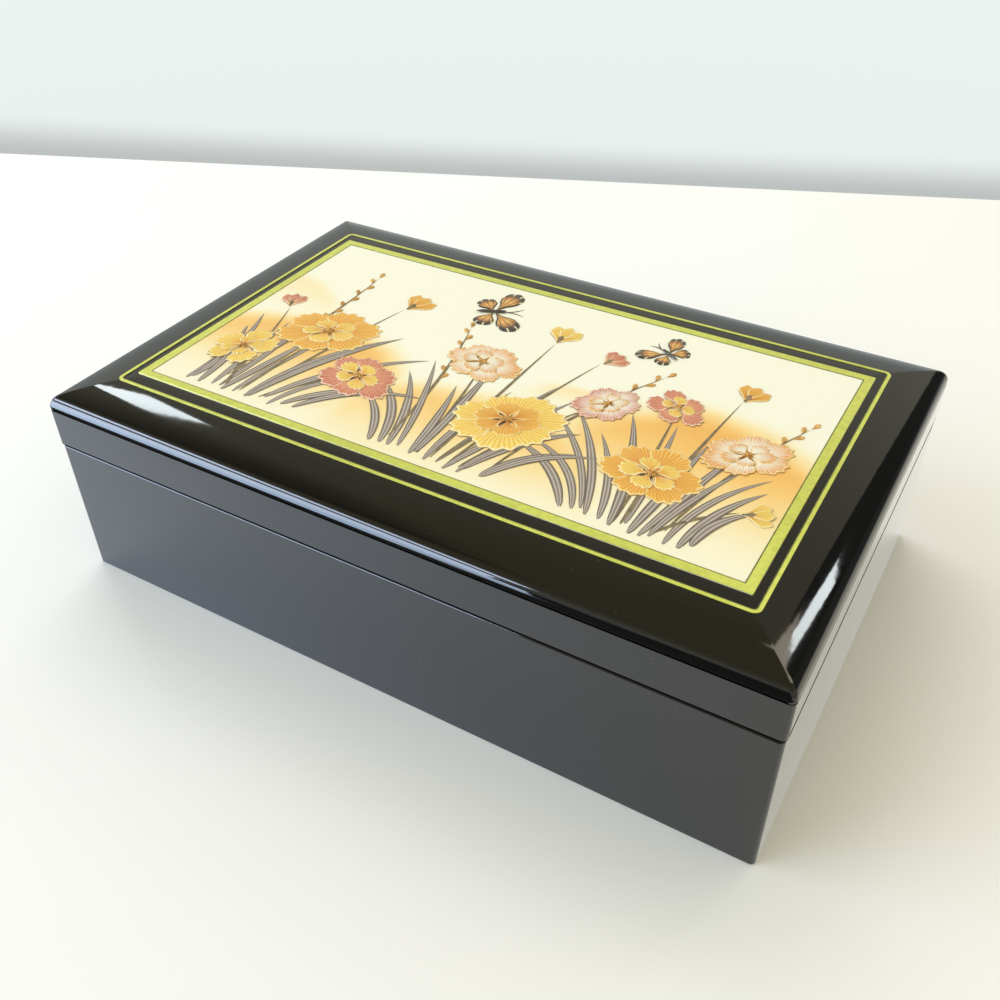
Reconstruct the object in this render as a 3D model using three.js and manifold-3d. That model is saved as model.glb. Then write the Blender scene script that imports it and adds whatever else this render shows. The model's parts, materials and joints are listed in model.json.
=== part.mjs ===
// Musical jewelry box: a lacquered wooden case with a hinged lid that carries a relief picture,
// a mirror inside the lid, a lined tray with ring rolls, and a wind-up cylinder movement in its own well.
// Millimetres. X runs along the long side, the front faces -Y, Z is up, and the case stands on Z = 0.

import * as THREE from 'three';
import { mergeVertices } from 'three/addons/utils/BufferGeometryUtils.js';
import Module from 'manifold-3d';

const wasm = await Module();
wasm.setup();

// Case and lid, outside
const BOX_W = 228;
const BOX_D = 146.8;
const BOX_H = 67.9;
const SEAM_Z = 47.85;
const SEAM_GAP = 0.3;
const BASE_INSET = 0.3;
const EDGE_R = 1.5;
const RIM_CHAMFER = 0.5;
const ROLL_EDGE_H = 6.55;
const BULLNOSE_R = 4;
const CROWN_RUN = 20;

// Walls and boards
const WALL = 9.5;
const BACK_WALL = 14;
const BOARD_LEDGE = 4;
const BOARD_Z = 11.6;
const BOARD_T = 3.4;
const FIT_GAP = 0.15;
const SEAT_GAP = 0.1;
const LID_BOARD_T = 8.7;

// Picture panel, set in the top of the lid
const PANEL_BORDER_X = 17.8;
const PANEL_BORDER_Y = 20.65;
const PANEL_T = 1.4;
const PANEL_STAND = 0.3;

// Stop bevels and piano hinge
const PIVOT_IN = 5.8;
const LID_BEVEL_DEG = 55;
const BASE_BEVEL_DEG = 42;
const HINGE_SHORT = 6;
const KNUCKLES = 11;
const KNUCKLE_GAP = 0.2;
const BARREL_R = 1.7;
const PIN_R = 0.8;
const PIN_CLEARANCE = 0.06;
const GROOVE_CLEARANCE = 0.35;
const LEAF_T = 0.8;
const LEAF_IN = 1;
const HINGE_SCREWS = 4;
const HINGE_SCREW_HEAD_R = 1.6;
const HINGE_SCREW_SHANK_R = 0.8;
const HINGE_SCREW_L = 6;

// Lining, dividers and ring rolls
const LINING_T = 1.2;
const TRAY_TOP_Z = 44;
const DIVIDER_T = 3;
const DIVIDER_TOP_Z = 40;
const LEFT_DIVIDER_X = -30;
const SOFT_GAP = 0.3;
const ROLL_COUNT = 6;
const ROLL_TOP_Z = 37;
const COVER_T = 2;

// Mirror in the lid
const MIRROR_T = 3;
const MIRROR_MARGIN_X = 8.5;
const MIRROR_MARGIN_Y = 7.65;
const MIRROR_FRAME_T = 2.2;
const MIRROR_HELD = 6;

// Musical movement
const BEDPLATE_T = 2.5;
const BEDPLATE_D = 46;
const BEDPLATE_LEFT_GAP = 4.5;
const BEDPLATE_RIGHT_GAP = 5.5;
const BEDPLATE_FRONT_GAP = 2;
const BEDPLATE_BACK_GAP = 3.4;
const BEDPLATE_RIM = 0.7;
const BARREL_LEFT = 12.5;
const MOVEMENT_FRONT = 28;
const DRUM_R = 11.5;
const DRUM_H = 10.5;
const DRUM_LIFT = 0.7;
const CROWN_TEETH = 36;
const CROWN_R = 11;
const CROWN_TOOTH_H = 1.2;
const CROWN_PITCH_H = 0.7;
const DRIVE_PINION_TEETH = 12;
const DRIVE_PINION_L = 1.8;
const ARBOR_R = 2;
const ARBOR_CLEARANCE = 0.08;
const CYLINDER_R = 6.5;
const CYLINDER_L = 19.5;
const CYLINDER_GAP = 0.4;
const STAFF_R = 1;
const STAFF_CLEARANCE = 0.06;
const PIN_ROWS = 18;
const PINS_PER_ROW = 5;
const MUSIC_PIN_H = 0.5;
const MUSIC_PIN_W = 0.36;
const COMB_CLEARANCE = 0.3;
const POST_T = 1.2;
const POST_HALF = 3;
const TRAIN_WHEEL_TEETH = 36;
const TRAIN_PINION_TEETH = 12;
const TRAIN_MODULE = 0.4;
const TRAIN_WHEEL_T = 1.5;
const TRAIN_ANGLE_DEG = -35;
const WORM_WHEEL_TEETH = 16;
const WORM_WHEEL_R = 4.8;
const WORM_WHEEL_T = 0.8;
const WORM_R = 1.6;
const WORM_TURNS = 3;
const WORM_STEPS = 12;
const WORM_SHAFT_R = 0.6;
const GOVERNOR_GAP = 2.7;
const BRACKET_T = 1;
const BRACKET_GAP = 4.3;
const FAN_R = 4;
const FAN_H = 3;
const STOP_ROD_R = 0.8;
const STOP_ROD_REACH = 6.5;
const STOP_FOOT_T = 1;

// Winding key
const KEY_HUB_R = 3.5;
const KEY_SPAN = 22;
const KEY_WING_T = 1.8;

// Heights and places that follow from the sizes above
const HALF_W = BOX_W / 2;
const HALF_D = BOX_D / 2;
const BASE_TOP_Z = SEAM_Z - SEAM_GAP / 2;
const LID_BOTTOM_Z = SEAM_Z + SEAM_GAP / 2;
const LID_TOP_Z = BOX_H - PANEL_STAND;
const BULLNOSE_Z = BOX_H - ROLL_EDGE_H;
const LID_CAVITY_Z = BOX_H - LID_BOARD_T;
const PANEL_W = BOX_W - 2 * PANEL_BORDER_X;
const PANEL_D = BOX_D - 2 * PANEL_BORDER_Y;
const HINGE_L = BOX_W - HINGE_SHORT;
const HINGE_SCREW_PITCH = 0.27 * HINGE_L;
const HINGE_SCREW_XS = Array.from(
  { length: HINGE_SCREWS },
  (_, i) => (i - (HINGE_SCREWS - 1) / 2) * HINGE_SCREW_PITCH,
);
const CAVITY_X = HALF_W - WALL;
const CAVITY_Y0 = -HALF_D + WALL;
const CAVITY_Y1 = HALF_D - BACK_WALL;
const PIVOT_Y = HALF_D - PIVOT_IN;
const MIRROR_W = 2 * (CAVITY_X - MIRROR_MARGIN_X);
const MIRROR_D = CAVITY_Y1 - CAVITY_Y0 - 2 * MIRROR_MARGIN_Y;
const MIRROR_WINDOW_W = MIRROR_W - 2 * MIRROR_HELD;
const MIRROR_WINDOW_D = MIRROR_D - 2 * MIRROR_HELD;
const BOARD_TOP_Z = BOARD_Z + BOARD_T;
const FLOOR_Z = BOARD_TOP_Z + SEAT_GAP;
const FLOOR_TOP_Z = FLOOR_Z + LINING_T;
const LINING_X = CAVITY_X - FIT_GAP - LINING_T;
const LINING_Y0 = CAVITY_Y0 + FIT_GAP + LINING_T;
const LINING_Y1 = CAVITY_Y1 - FIT_GAP - LINING_T;
const TRAIN_L = DRUM_R + 3.5 * CYLINDER_GAP + CYLINDER_L + TRAIN_WHEEL_T + 2 * POST_T + GOVERNOR_GAP;
const BEDPLATE_L = BARREL_LEFT + TRAIN_L + BRACKET_GAP + BRACKET_T + BEDPLATE_RIM;
const BEDPLATE_X1 = CAVITY_X - BEDPLATE_RIGHT_GAP;
const BEDPLATE_X0 = BEDPLATE_X1 - BEDPLATE_L;
const BEDPLATE_Y1 = CAVITY_Y1 - BEDPLATE_BACK_GAP;
const BEDPLATE_Y0 = BEDPLATE_Y1 - BEDPLATE_D;
const WELL_X = BEDPLATE_X0 - BEDPLATE_LEFT_GAP - DIVIDER_T;
const WELL_Y = BEDPLATE_Y0 - BEDPLATE_FRONT_GAP - DIVIDER_T;
const BARREL_X = BEDPLATE_X0 + BARREL_LEFT;
const MOVEMENT_Y = BEDPLATE_Y0 + MOVEMENT_FRONT;
const GOVERNOR_X = BARREL_X + TRAIN_L;
const BRACKET_X = GOVERNOR_X + BRACKET_GAP;
const STOP_ROD_X = GOVERNOR_X - STOP_ROD_REACH;
const BEDPLATE_TOP_Z = FLOOR_Z + BEDPLATE_T;
const DRUM_Z = BEDPLATE_TOP_Z + DRUM_LIFT;
const DRUM_TOP_Z = DRUM_Z + DRUM_H;
const DRIVE_PINION_R = CROWN_R * DRIVE_PINION_TEETH / CROWN_TEETH;
const STAFF_Z = DRUM_TOP_Z + CROWN_PITCH_H + DRIVE_PINION_R;
const LEFT_POST_X = BARREL_X + DRUM_R + CYLINDER_GAP;
const CYLINDER_X0 = LEFT_POST_X + POST_T + CYLINDER_GAP;
const CYLINDER_X1 = CYLINDER_X0 + CYLINDER_L;
const WHEEL_X0 = CYLINDER_X1 + CYLINDER_GAP / 2;
const WHEEL_X1 = WHEEL_X0 + TRAIN_WHEEL_T;
const RIGHT_POST_X = WHEEL_X1 + CYLINDER_GAP;
const TRAIN_WHEEL_R = TRAIN_MODULE * TRAIN_WHEEL_TEETH / 2;
const TRAIN_PINION_R = TRAIN_MODULE * TRAIN_PINION_TEETH / 2;
const TRAIN_ANGLE = THREE.MathUtils.degToRad(TRAIN_ANGLE_DEG);
const IDLER_Y = MOVEMENT_Y + (TRAIN_WHEEL_R + TRAIN_PINION_R) * Math.cos(TRAIN_ANGLE);
const IDLER_Z = STAFF_Z + (TRAIN_WHEEL_R + TRAIN_PINION_R) * Math.sin(TRAIN_ANGLE);
const WORM_Y = IDLER_Y + WORM_WHEEL_R + WORM_R;
const WORM_PITCH = 2 * Math.PI * WORM_WHEEL_R / WORM_WHEEL_TEETH;
const TOP_ARM_Z = IDLER_Z + WORM_WHEEL_R + 0.8;
const BOTTOM_ARM_Z = BEDPLATE_TOP_Z + 1.4;
const FAN_Z = TOP_ARM_Z + BRACKET_T + 0.6;
const STOP_FOOT_Z = FAN_Z + FAN_H + 0.3;
const FRAME_Z = LID_CAVITY_Z - SEAT_GAP - MIRROR_T - SEAT_GAP - MIRROR_FRAME_T;

// Finishes
const lacquer = new THREE.MeshStandardMaterial({ name: 'black_lacquer', color: 0x101012, roughness: 0.08 });
const picture = new THREE.MeshStandardMaterial({ name: 'picture_panel', color: 0xf0e6c8, roughness: 0.25 });
const board = new THREE.MeshStandardMaterial({ name: 'bottom_board', color: 0x2a2624, roughness: 0.8 });
const velvet = new THREE.MeshStandardMaterial({ name: 'velvet', color: 0x7a1420, roughness: 1 });
const silvered = new THREE.MeshStandardMaterial({
  name: 'mirror', color: 0xdfe4e6, roughness: 0.02, metalness: 1,
});
const clear = new THREE.MeshStandardMaterial({
  name: 'clear_cover', color: 0xe8f0f2, transparent: true, opacity: 0.3,
});
const brass = new THREE.MeshStandardMaterial({
  name: 'brass', color: 0xc9a050, metalness: 1, roughness: 0.3,
});
const steel = new THREE.MeshStandardMaterial({
  name: 'steel', color: 0xb8bcc0, metalness: 1, roughness: 0.3,
});
const zinc = new THREE.MeshStandardMaterial({
  name: 'zinc_casting', color: 0x9a9c9e, metalness: 1, roughness: 0.5,
});
const nylon = new THREE.MeshStandardMaterial({ name: 'fan_plastic', color: 0xe8e4da, roughness: 0.5 });

const box = new THREE.Group();
box.name = 'musical_jewelry_box';

function add(name, geometry, material) {
  const flat = geometry.index ? geometry.toNonIndexed() : geometry;
  flat.computeVertexNormals();
  const mesh = new THREE.Mesh(flat, material);
  mesh.name = name;
  box.add(mesh);
}

// Solid operations
function solid(geometry) {
  const g = geometry.clone();
  g.deleteAttribute('normal');
  g.deleteAttribute('uv');
  const merged = mergeVertices(g, 1e-4);
  const mesh = new wasm.Mesh({
    numProp: 3,
    vertProperties: new Float32Array(merged.attributes.position.array),
    triVerts: new Uint32Array(merged.index.array),
  });
  mesh.merge();
  return new wasm.Manifold(mesh);
}

function shape(manifold) {
  const mesh = manifold.getMesh();
  const g = new THREE.BufferGeometry();
  g.setAttribute('position', new THREE.BufferAttribute(new Float32Array(mesh.vertProperties), 3));
  g.setIndex(new THREE.BufferAttribute(new Uint32Array(mesh.triVerts), 1));
  return g;
}

function union(...geometries) {
  return shape(geometries.map(solid).reduce((a, b) => a.add(b)));
}

function cut(body, ...tools) {
  return shape(tools.map(solid).reduce((a, b) => a.subtract(b), solid(body)));
}

// Basic bodies
function block(x0, x1, y0, y1, z0, z1) {
  const g = new THREE.BoxGeometry(x1 - x0, y1 - y0, z1 - z0);
  return g.translate((x0 + x1) / 2, (y0 + y1) / 2, (z0 + z1) / 2);
}

function prism(points, z0, z1) {
  const outline = new THREE.Shape(points.map(([x, y]) => new THREE.Vector2(x, y)));
  const g = new THREE.ExtrudeGeometry(outline, { depth: z1 - z0, bevelEnabled: false });
  return g.translate(0, 0, z0);
}

// Turns a body drawn in plan so that its height runs along X: plan x becomes y, plan y becomes z.
function alongX(g) {
  const m = new THREE.Matrix4().set(0, 0, 1, 0, 1, 0, 0, 0, 0, 1, 0, 0, 0, 0, 0, 1);
  return g.applyMatrix4(m);
}

// Turns a body drawn in plan so that its height runs along Y: plan x becomes z, plan y becomes x.
function alongY(g) {
  const m = new THREE.Matrix4().set(0, 1, 0, 0, 0, 0, 1, 0, 1, 0, 0, 0, 0, 0, 0, 1);
  return g.applyMatrix4(m);
}

function circle(cx, cy, r, n) {
  return Array.from({ length: n }, (_, i) => {
    const a = 2 * Math.PI * (i + 0.5) / n;
    return [cx + r * Math.cos(a), cy + r * Math.sin(a)];
  });
}

function rodZ(x, y, r, z0, z1, n = 20) {
  return prism(circle(x, y, r, n), z0, z1);
}

function rodX(y, z, r, x0, x1, n = 16) {
  return alongX(prism(circle(y, z, r, n), x0, x1));
}

function roundedRect(x0, x1, y0, y1, r, steps = 3) {
  const corners = [
    [x1 - r, y0 + r, -90],
    [x1 - r, y1 - r, 0],
    [x0 + r, y1 - r, 90],
    [x0 + r, y0 + r, 180],
  ];
  const points = [];
  for (const [cx, cy, start] of corners) {
    for (let i = 0; i <= steps; i++) {
      const a = THREE.MathUtils.degToRad(start + 90 * i / steps);
      points.push([cx + r * Math.cos(a), cy + r * Math.sin(a)]);
    }
  }
  return points;
}

// A closed body through outlines with equal point counts.
// Each outline runs anticlockwise seen from the last one.
function loft(rings) {
  const n = rings[0].length;
  const positions = rings.flat(2);
  const index = [];
  for (let k = 0; k < rings.length - 1; k++) {
    for (let i = 0; i < n; i++) {
      const a = k * n + i;
      const b = k * n + (i + 1) % n;
      index.push(a, b, b + n, a, b + n, a + n);
    }
  }
  const last = (rings.length - 1) * n;
  const capOf = (ring) => {
    const normal = new THREE.Vector3();
    const p = ring.map((v) => new THREE.Vector3(...v));
    for (let i = 0; i < n; i++) {
      normal.add(new THREE.Vector3().crossVectors(p[i], p[(i + 1) % n]));
    }
    normal.normalize();
    const u = p[1].clone().sub(p[0]).normalize();
    const v = new THREE.Vector3().crossVectors(normal, u);
    return THREE.ShapeUtils.triangulateShape(p.map((q) => new THREE.Vector2(q.dot(u), q.dot(v))), []);
  };
  for (const [a, b, c] of capOf(rings[0])) {
    index.push(c, b, a);
  }
  for (const [a, b, c] of capOf(rings[rings.length - 1])) {
    index.push(last + a, last + b, last + c);
  }
  const g = new THREE.BufferGeometry();
  g.setAttribute('position', new THREE.Float32BufferAttribute(positions, 3));
  g.setIndex(index);
  return g;
}

function rectRing(inset, z) {
  return roundedRect(-HALF_W + inset, HALF_W - inset, -HALF_D + inset, HALF_D - inset, EDGE_R)
    .map(([x, y]) => [x, y, z]);
}

// Section of the rolled lid edge: a tight bullnose that runs into a wide, shallow crown.
function crownSection(noseSteps, crownSteps) {
  const a = CROWN_RUN - BULLNOSE_R;
  const h = LID_TOP_Z - BULLNOSE_Z;
  const big = (a * a + h * h - BULLNOSE_R ** 2) / (2 * (h - BULLNOSE_R));
  const join = Math.asin(a / (big - BULLNOSE_R));
  const points = [];
  for (let i = 0; i <= noseSteps; i++) {
    const t = Math.PI / 2 + (join - Math.PI / 2) * i / noseSteps;
    points.push([BULLNOSE_R - BULLNOSE_R * Math.sin(t), BULLNOSE_Z + BULLNOSE_R * Math.cos(t)]);
  }
  for (let i = 1; i <= crownSteps; i++) {
    const t = join * (1 - i / crownSteps);
    points.push([CROWN_RUN - big * Math.sin(t), LID_TOP_Z - big * (1 - Math.cos(t))]);
  }
  return points;
}

// The wedge cut out of the back edges so that the lid can swing past upright and stop.
function bevelWedge(degrees, up) {
  const reach = PIVOT_IN + 2;
  const rise = reach * Math.tan(THREE.MathUtils.degToRad(degrees));
  const past = SEAM_GAP;
  const points = up
    ? [
      [PIVOT_Y, SEAM_Z - past], [PIVOT_Y + reach, SEAM_Z - past],
      [PIVOT_Y + reach, SEAM_Z + rise], [PIVOT_Y, SEAM_Z],
    ]
    : [
      [PIVOT_Y, SEAM_Z + past], [PIVOT_Y, SEAM_Z],
      [PIVOT_Y + reach, SEAM_Z - rise], [PIVOT_Y + reach, SEAM_Z + past],
    ];
  return alongX(prism(points, -HALF_W - 1, HALF_W + 1));
}

function barrelGroove() {
  return rodX(PIVOT_Y, SEAM_Z, BARREL_R + GROOVE_CLEARANCE, -HALF_W - 1, HALF_W + 1, 16);
}

// Hinge places
const LEAF_Y0 = CAVITY_Y1 + LEAF_IN;
const LEAF_Y1 = PIVOT_Y - BARREL_R - GROOVE_CLEARANCE;
const SCREW_Y = (LEAF_Y0 + LEAF_Y1) / 2;
const BASE_LEAF_Z = BASE_TOP_Z - LEAF_T;
const LID_LEAF_Z = LID_BOTTOM_Z;

function mortise(z0, z1) {
  return block(-HINGE_L / 2 - FIT_GAP, HINGE_L / 2 + FIT_GAP, LEAF_Y0 - FIT_GAP, PIVOT_Y - PIN_R, z0, z1);
}

function screwHoles(z0, z1) {
  const r = HINGE_SCREW_SHANK_R + SEAT_GAP;
  return HINGE_SCREW_XS.map((x) => rodZ(x, SCREW_Y, r, z0, z1, 10));
}

// Base case: four mitred walls with a ledge near the foot for the bottom board.
const baseOuter = loft([
  rectRing(BASE_INSET + RIM_CHAMFER, 0),
  rectRing(BASE_INSET, RIM_CHAMFER),
  rectRing(BASE_INSET, BASE_TOP_Z - RIM_CHAMFER),
  rectRing(BASE_INSET + RIM_CHAMFER, BASE_TOP_Z),
]);
add('base_case', cut(
  baseOuter,
  block(-CAVITY_X, CAVITY_X, CAVITY_Y0, CAVITY_Y1, BOARD_Z - SEAT_GAP, BASE_TOP_Z + 1),
  block(
    -CAVITY_X + BOARD_LEDGE, CAVITY_X - BOARD_LEDGE,
    CAVITY_Y0 + BOARD_LEDGE, CAVITY_Y1 - BOARD_LEDGE, -1, BOARD_Z,
  ),
  bevelWedge(BASE_BEVEL_DEG, false),
  barrelGroove(),
  mortise(BASE_LEAF_Z - SEAT_GAP, BASE_TOP_Z + 1),
  ...screwHoles(BASE_TOP_Z - HINGE_SCREW_L - SEAT_GAP, BASE_TOP_Z + 1),
), lacquer);

// Bottom board, with the hole for the winding arbor and three holes for the movement's screws.
const MOVEMENT_SCREWS = [
  [BEDPLATE_X0 + 3.5, BEDPLATE_Y0 + 4],
  [BEDPLATE_X0 + 3.5, BEDPLATE_Y1 - 4],
  [BEDPLATE_X1 - 4, BEDPLATE_Y0 + 4],
];
const MOVEMENT_SCREW_R = 1.2;
add('bottom_board', cut(
  block(
    -CAVITY_X + FIT_GAP, CAVITY_X - FIT_GAP,
    CAVITY_Y0 + FIT_GAP, CAVITY_Y1 - FIT_GAP, BOARD_Z, BOARD_TOP_Z,
  ),
  rodZ(BARREL_X, MOVEMENT_Y, ARBOR_R + 2.5, BOARD_Z - 1, BOARD_TOP_Z + 1),
  ...MOVEMENT_SCREWS.map(
    ([x, y]) => rodZ(x, y, MOVEMENT_SCREW_R + SEAT_GAP, BOARD_Z - 1, BOARD_TOP_Z + 1, 10),
  ),
), board);

// Lid: rolled edge all round, a shallow bed for the picture, a cavity below for the mirror.
const panelBedZ = BOX_H - PANEL_T - SEAT_GAP;
const lidOuter = loft([
  rectRing(RIM_CHAMFER, LID_BOTTOM_Z),
  rectRing(0, LID_BOTTOM_Z + RIM_CHAMFER),
  ...crownSection(6, 6).map(([inset, z]) => rectRing(inset, z)),
]);
add('lid_shell', cut(
  lidOuter,
  block(-CAVITY_X, CAVITY_X, CAVITY_Y0, CAVITY_Y1, LID_BOTTOM_Z - 1, LID_CAVITY_Z),
  block(
    -PANEL_W / 2 - FIT_GAP, PANEL_W / 2 + FIT_GAP,
    -PANEL_D / 2 - FIT_GAP, PANEL_D / 2 + FIT_GAP, panelBedZ, BOX_H + 1,
  ),
  bevelWedge(LID_BEVEL_DEG, true),
  barrelGroove(),
  mortise(LID_BOTTOM_Z - 1, LID_LEAF_Z + LEAF_T + SEAT_GAP),
  ...screwHoles(LID_BOTTOM_Z - 1, LID_BOTTOM_Z + HINGE_SCREW_L + SEAT_GAP),
), lacquer);

add('picture_panel', loft([
  [0.3, BOX_H - PANEL_T],
  [0, BOX_H - PANEL_T + 0.3],
  [0, BOX_H - 0.2],
  [0.2, BOX_H],
].map(([inset, z]) => roundedRect(
  -PANEL_W / 2 + inset, PANEL_W / 2 - inset, -PANEL_D / 2 + inset, PANEL_D / 2 - inset, 0.5, 2,
).map(([x, y]) => [x, y, z]))), picture);

// Mirror, glued up against the lid board, and the velvet-covered frame that hides its edges.
const lidMidY = (CAVITY_Y0 + CAVITY_Y1) / 2;
const mirrorZ = LID_CAVITY_Z - SEAT_GAP - MIRROR_T;
add('mirror', loft([
  [0.6, mirrorZ],
  [0, mirrorZ + 0.6],
  [0, mirrorZ + MIRROR_T],
].map(([inset, z]) => roundedRect(
  -MIRROR_W / 2 + inset, MIRROR_W / 2 - inset,
  lidMidY - MIRROR_D / 2 + inset, lidMidY + MIRROR_D / 2 - inset, 1, 2,
).map(([x, y]) => [x, y, z]))), silvered);
const windowY0 = lidMidY - MIRROR_WINDOW_D / 2;
const windowY1 = lidMidY + MIRROR_WINDOW_D / 2;
add('mirror_frame', cut(
  prism(roundedRect(
    -CAVITY_X + FIT_GAP, CAVITY_X - FIT_GAP, CAVITY_Y0 + FIT_GAP, CAVITY_Y1 - FIT_GAP, 0.5, 2,
  ), FRAME_Z, FRAME_Z + MIRROR_FRAME_T),
  prism(roundedRect(
    -MIRROR_WINDOW_W / 2, MIRROR_WINDOW_W / 2, windowY0, windowY1, 4, 5,
  ), FRAME_Z - 1, FRAME_Z + MIRROR_FRAME_T + 1),
), velvet);

// Piano hinge: two leaves let into the rims, knuckles in turn, one pin through them all.
function leaf(z0, firstKnuckle) {
  const pitch = HINGE_L / KNUCKLES;
  const tabY = PIVOT_Y - PIN_R - 0.4;
  const outline = [
    [HINGE_L / 2, LEAF_Y0], [HINGE_L / 2, LEAF_Y1],
    [-HINGE_L / 2, LEAF_Y1], [-HINGE_L / 2, LEAF_Y0],
  ];
  const plate = [outline[3], outline[0]];
  const knuckles = [];
  const tabs = [];
  for (let k = firstKnuckle; k < KNUCKLES; k += 2) {
    const x0 = -HINGE_L / 2 + k * pitch + KNUCKLE_GAP / 2;
    const x1 = x0 + pitch - KNUCKLE_GAP;
    const tab0 = x0 + KNUCKLE_GAP / 2;
    const tab1 = x1 - KNUCKLE_GAP / 2;
    tabs.unshift([tab1, LEAF_Y1], [tab1, tabY], [tab0, tabY], [tab0, LEAF_Y1]);
    knuckles.push(rodX(PIVOT_Y, SEAM_Z, BARREL_R, x0, x1, 18));
  }
  plate.push(outline[1], ...tabs, outline[2]);
  return cut(
    union(prism(plate, z0, z0 + LEAF_T), ...knuckles),
    rodX(PIVOT_Y, SEAM_Z, PIN_R + PIN_CLEARANCE, -HINGE_L / 2 - 1, HINGE_L / 2 + 1, 12),
    ...HINGE_SCREW_XS.map(
      (x) => rodZ(x, SCREW_Y, HINGE_SCREW_HEAD_R + SEAT_GAP, z0 - 1, z0 + LEAF_T + 1, 14),
    ),
  );
}
add('hinge_leaf_base', leaf(BASE_LEAF_Z, 0), brass);
add('hinge_leaf_lid', leaf(LID_LEAF_Z, 1), brass);
add('hinge_pin', rodX(PIVOT_Y, SEAM_Z, PIN_R, -HINGE_L / 2 + 0.3, HINGE_L / 2 - 0.3, 12), steel);

// Flat-headed screws with a driver slot. The head's face lies at z, and the shank points the way of side.
function flatScrew(x, y, z, side) {
  const headT = LEAF_T - 0.05;
  const under = z + side * headT;
  const head = rodZ(x, y, HINGE_SCREW_HEAD_R, Math.min(z, under), Math.max(z, under), 14);
  const end = z + side * HINGE_SCREW_L;
  const neck = z + side * 0.2;
  const shank = rodZ(x, y, HINGE_SCREW_SHANK_R, Math.min(neck, end), Math.max(neck, end), 8);
  const slotZ0 = Math.min(z - side * 0.2, z + side * 0.3);
  const slotZ1 = Math.max(z - side * 0.2, z + side * 0.3);
  return cut(union(head, shank), block(x - 2, x + 2, y - 0.25, y + 0.25, slotZ0, slotZ1));
}
HINGE_SCREW_XS.forEach((x, i) => {
  add(`base_hinge_screw_${i + 1}`, flatScrew(x, SCREW_Y, BASE_TOP_Z, -1), brass);
  add(`lid_hinge_screw_${i + 1}`, flatScrew(x, SCREW_Y, LID_BOTTOM_Z, 1), brass);
});

// Velvet lining: a floor sheet that stops at the movement's well, and a band round the walls.
const wellX = WELL_X - SOFT_GAP;
const wellY = WELL_Y - SOFT_GAP;
const floorEdge = CAVITY_X - FIT_GAP;
add('floor_lining', prism([
  [-floorEdge, CAVITY_Y0 + FIT_GAP],
  [floorEdge, CAVITY_Y0 + FIT_GAP],
  [floorEdge, wellY],
  [wellX, wellY],
  [wellX, CAVITY_Y1 - FIT_GAP],
  [-floorEdge, CAVITY_Y1 - FIT_GAP],
], FLOOR_Z, FLOOR_TOP_Z), velvet);
add('wall_lining', cut(
  block(
    -floorEdge, floorEdge, CAVITY_Y0 + FIT_GAP, CAVITY_Y1 - FIT_GAP,
    FLOOR_TOP_Z + SEAT_GAP, TRAY_TOP_Z,
  ),
  block(-LINING_X, LINING_X, LINING_Y0, LINING_Y1, FLOOR_Z, TRAY_TOP_Z + 1),
), velvet);

// Dividers, and the two-sided wall of the movement's well.
const innerX = LINING_X - FIT_GAP;
const innerY0 = LINING_Y0 + FIT_GAP;
const innerY1 = LINING_Y1 - FIT_GAP;
const dividerZ = FLOOR_TOP_Z + SEAT_GAP;
const leftDividerX1 = LEFT_DIVIDER_X + DIVIDER_T;
function divider(x0, x1, y0, y1) {
  const alongLength = x1 - x0 > y1 - y0;
  const mid = alongLength ? (y0 + y1) / 2 : (x0 + x1) / 2;
  const half = DIVIDER_T / 2;
  const section = [[mid - half, dividerZ], [mid + half, dividerZ], [mid + half, DIVIDER_TOP_Z - half]];
  for (let i = 1; i < 6; i++) {
    const a = Math.PI * i / 6;
    section.push([mid + half * Math.cos(a), DIVIDER_TOP_Z - half + half * Math.sin(a)]);
  }
  section.push([mid - half, DIVIDER_TOP_Z - half]);
  if (alongLength) {
    return alongX(prism(section, x0, x1));
  }
  return alongY(prism(section.map(([x, z]) => [z, x]).reverse(), y0, y1));
}
add('divider_left', divider(LEFT_DIVIDER_X, leftDividerX1, innerY0, innerY1), velvet);
add('divider_rings', divider(-innerX, LEFT_DIVIDER_X - FIT_GAP, WELL_Y, WELL_Y + DIVIDER_T), velvet);
const middleDivider = divider(leftDividerX1 + FIT_GAP, WELL_X - FIT_GAP, WELL_Y, WELL_Y + DIVIDER_T);
add('divider_middle', middleDivider, velvet);
add('divider_right', divider(WELL_X, WELL_X + DIVIDER_T, innerY0, WELL_Y - FIT_GAP), velvet);
add('well_wall', prism([
  [WELL_X, WELL_Y],
  [innerX, WELL_Y],
  [innerX, WELL_Y + DIVIDER_T],
  [WELL_X + DIVIDER_T, WELL_Y + DIVIDER_T],
  [WELL_X + DIVIDER_T, innerY1],
  [WELL_X, innerY1],
], FLOOR_Z, TRAY_TOP_Z), velvet);

// Clear cover over the movement, with a hole for the stop rod.
const coverZ = TRAY_TOP_Z + SEAT_GAP;
add('movement_cover', cut(
  block(WELL_X, floorEdge, WELL_Y, CAVITY_Y1 - FIT_GAP, coverZ, coverZ + COVER_T),
  rodZ(STOP_ROD_X, WORM_Y, STOP_ROD_R + 0.5, coverZ - 1, coverZ + COVER_T + 1, 16),
), clear);

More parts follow.
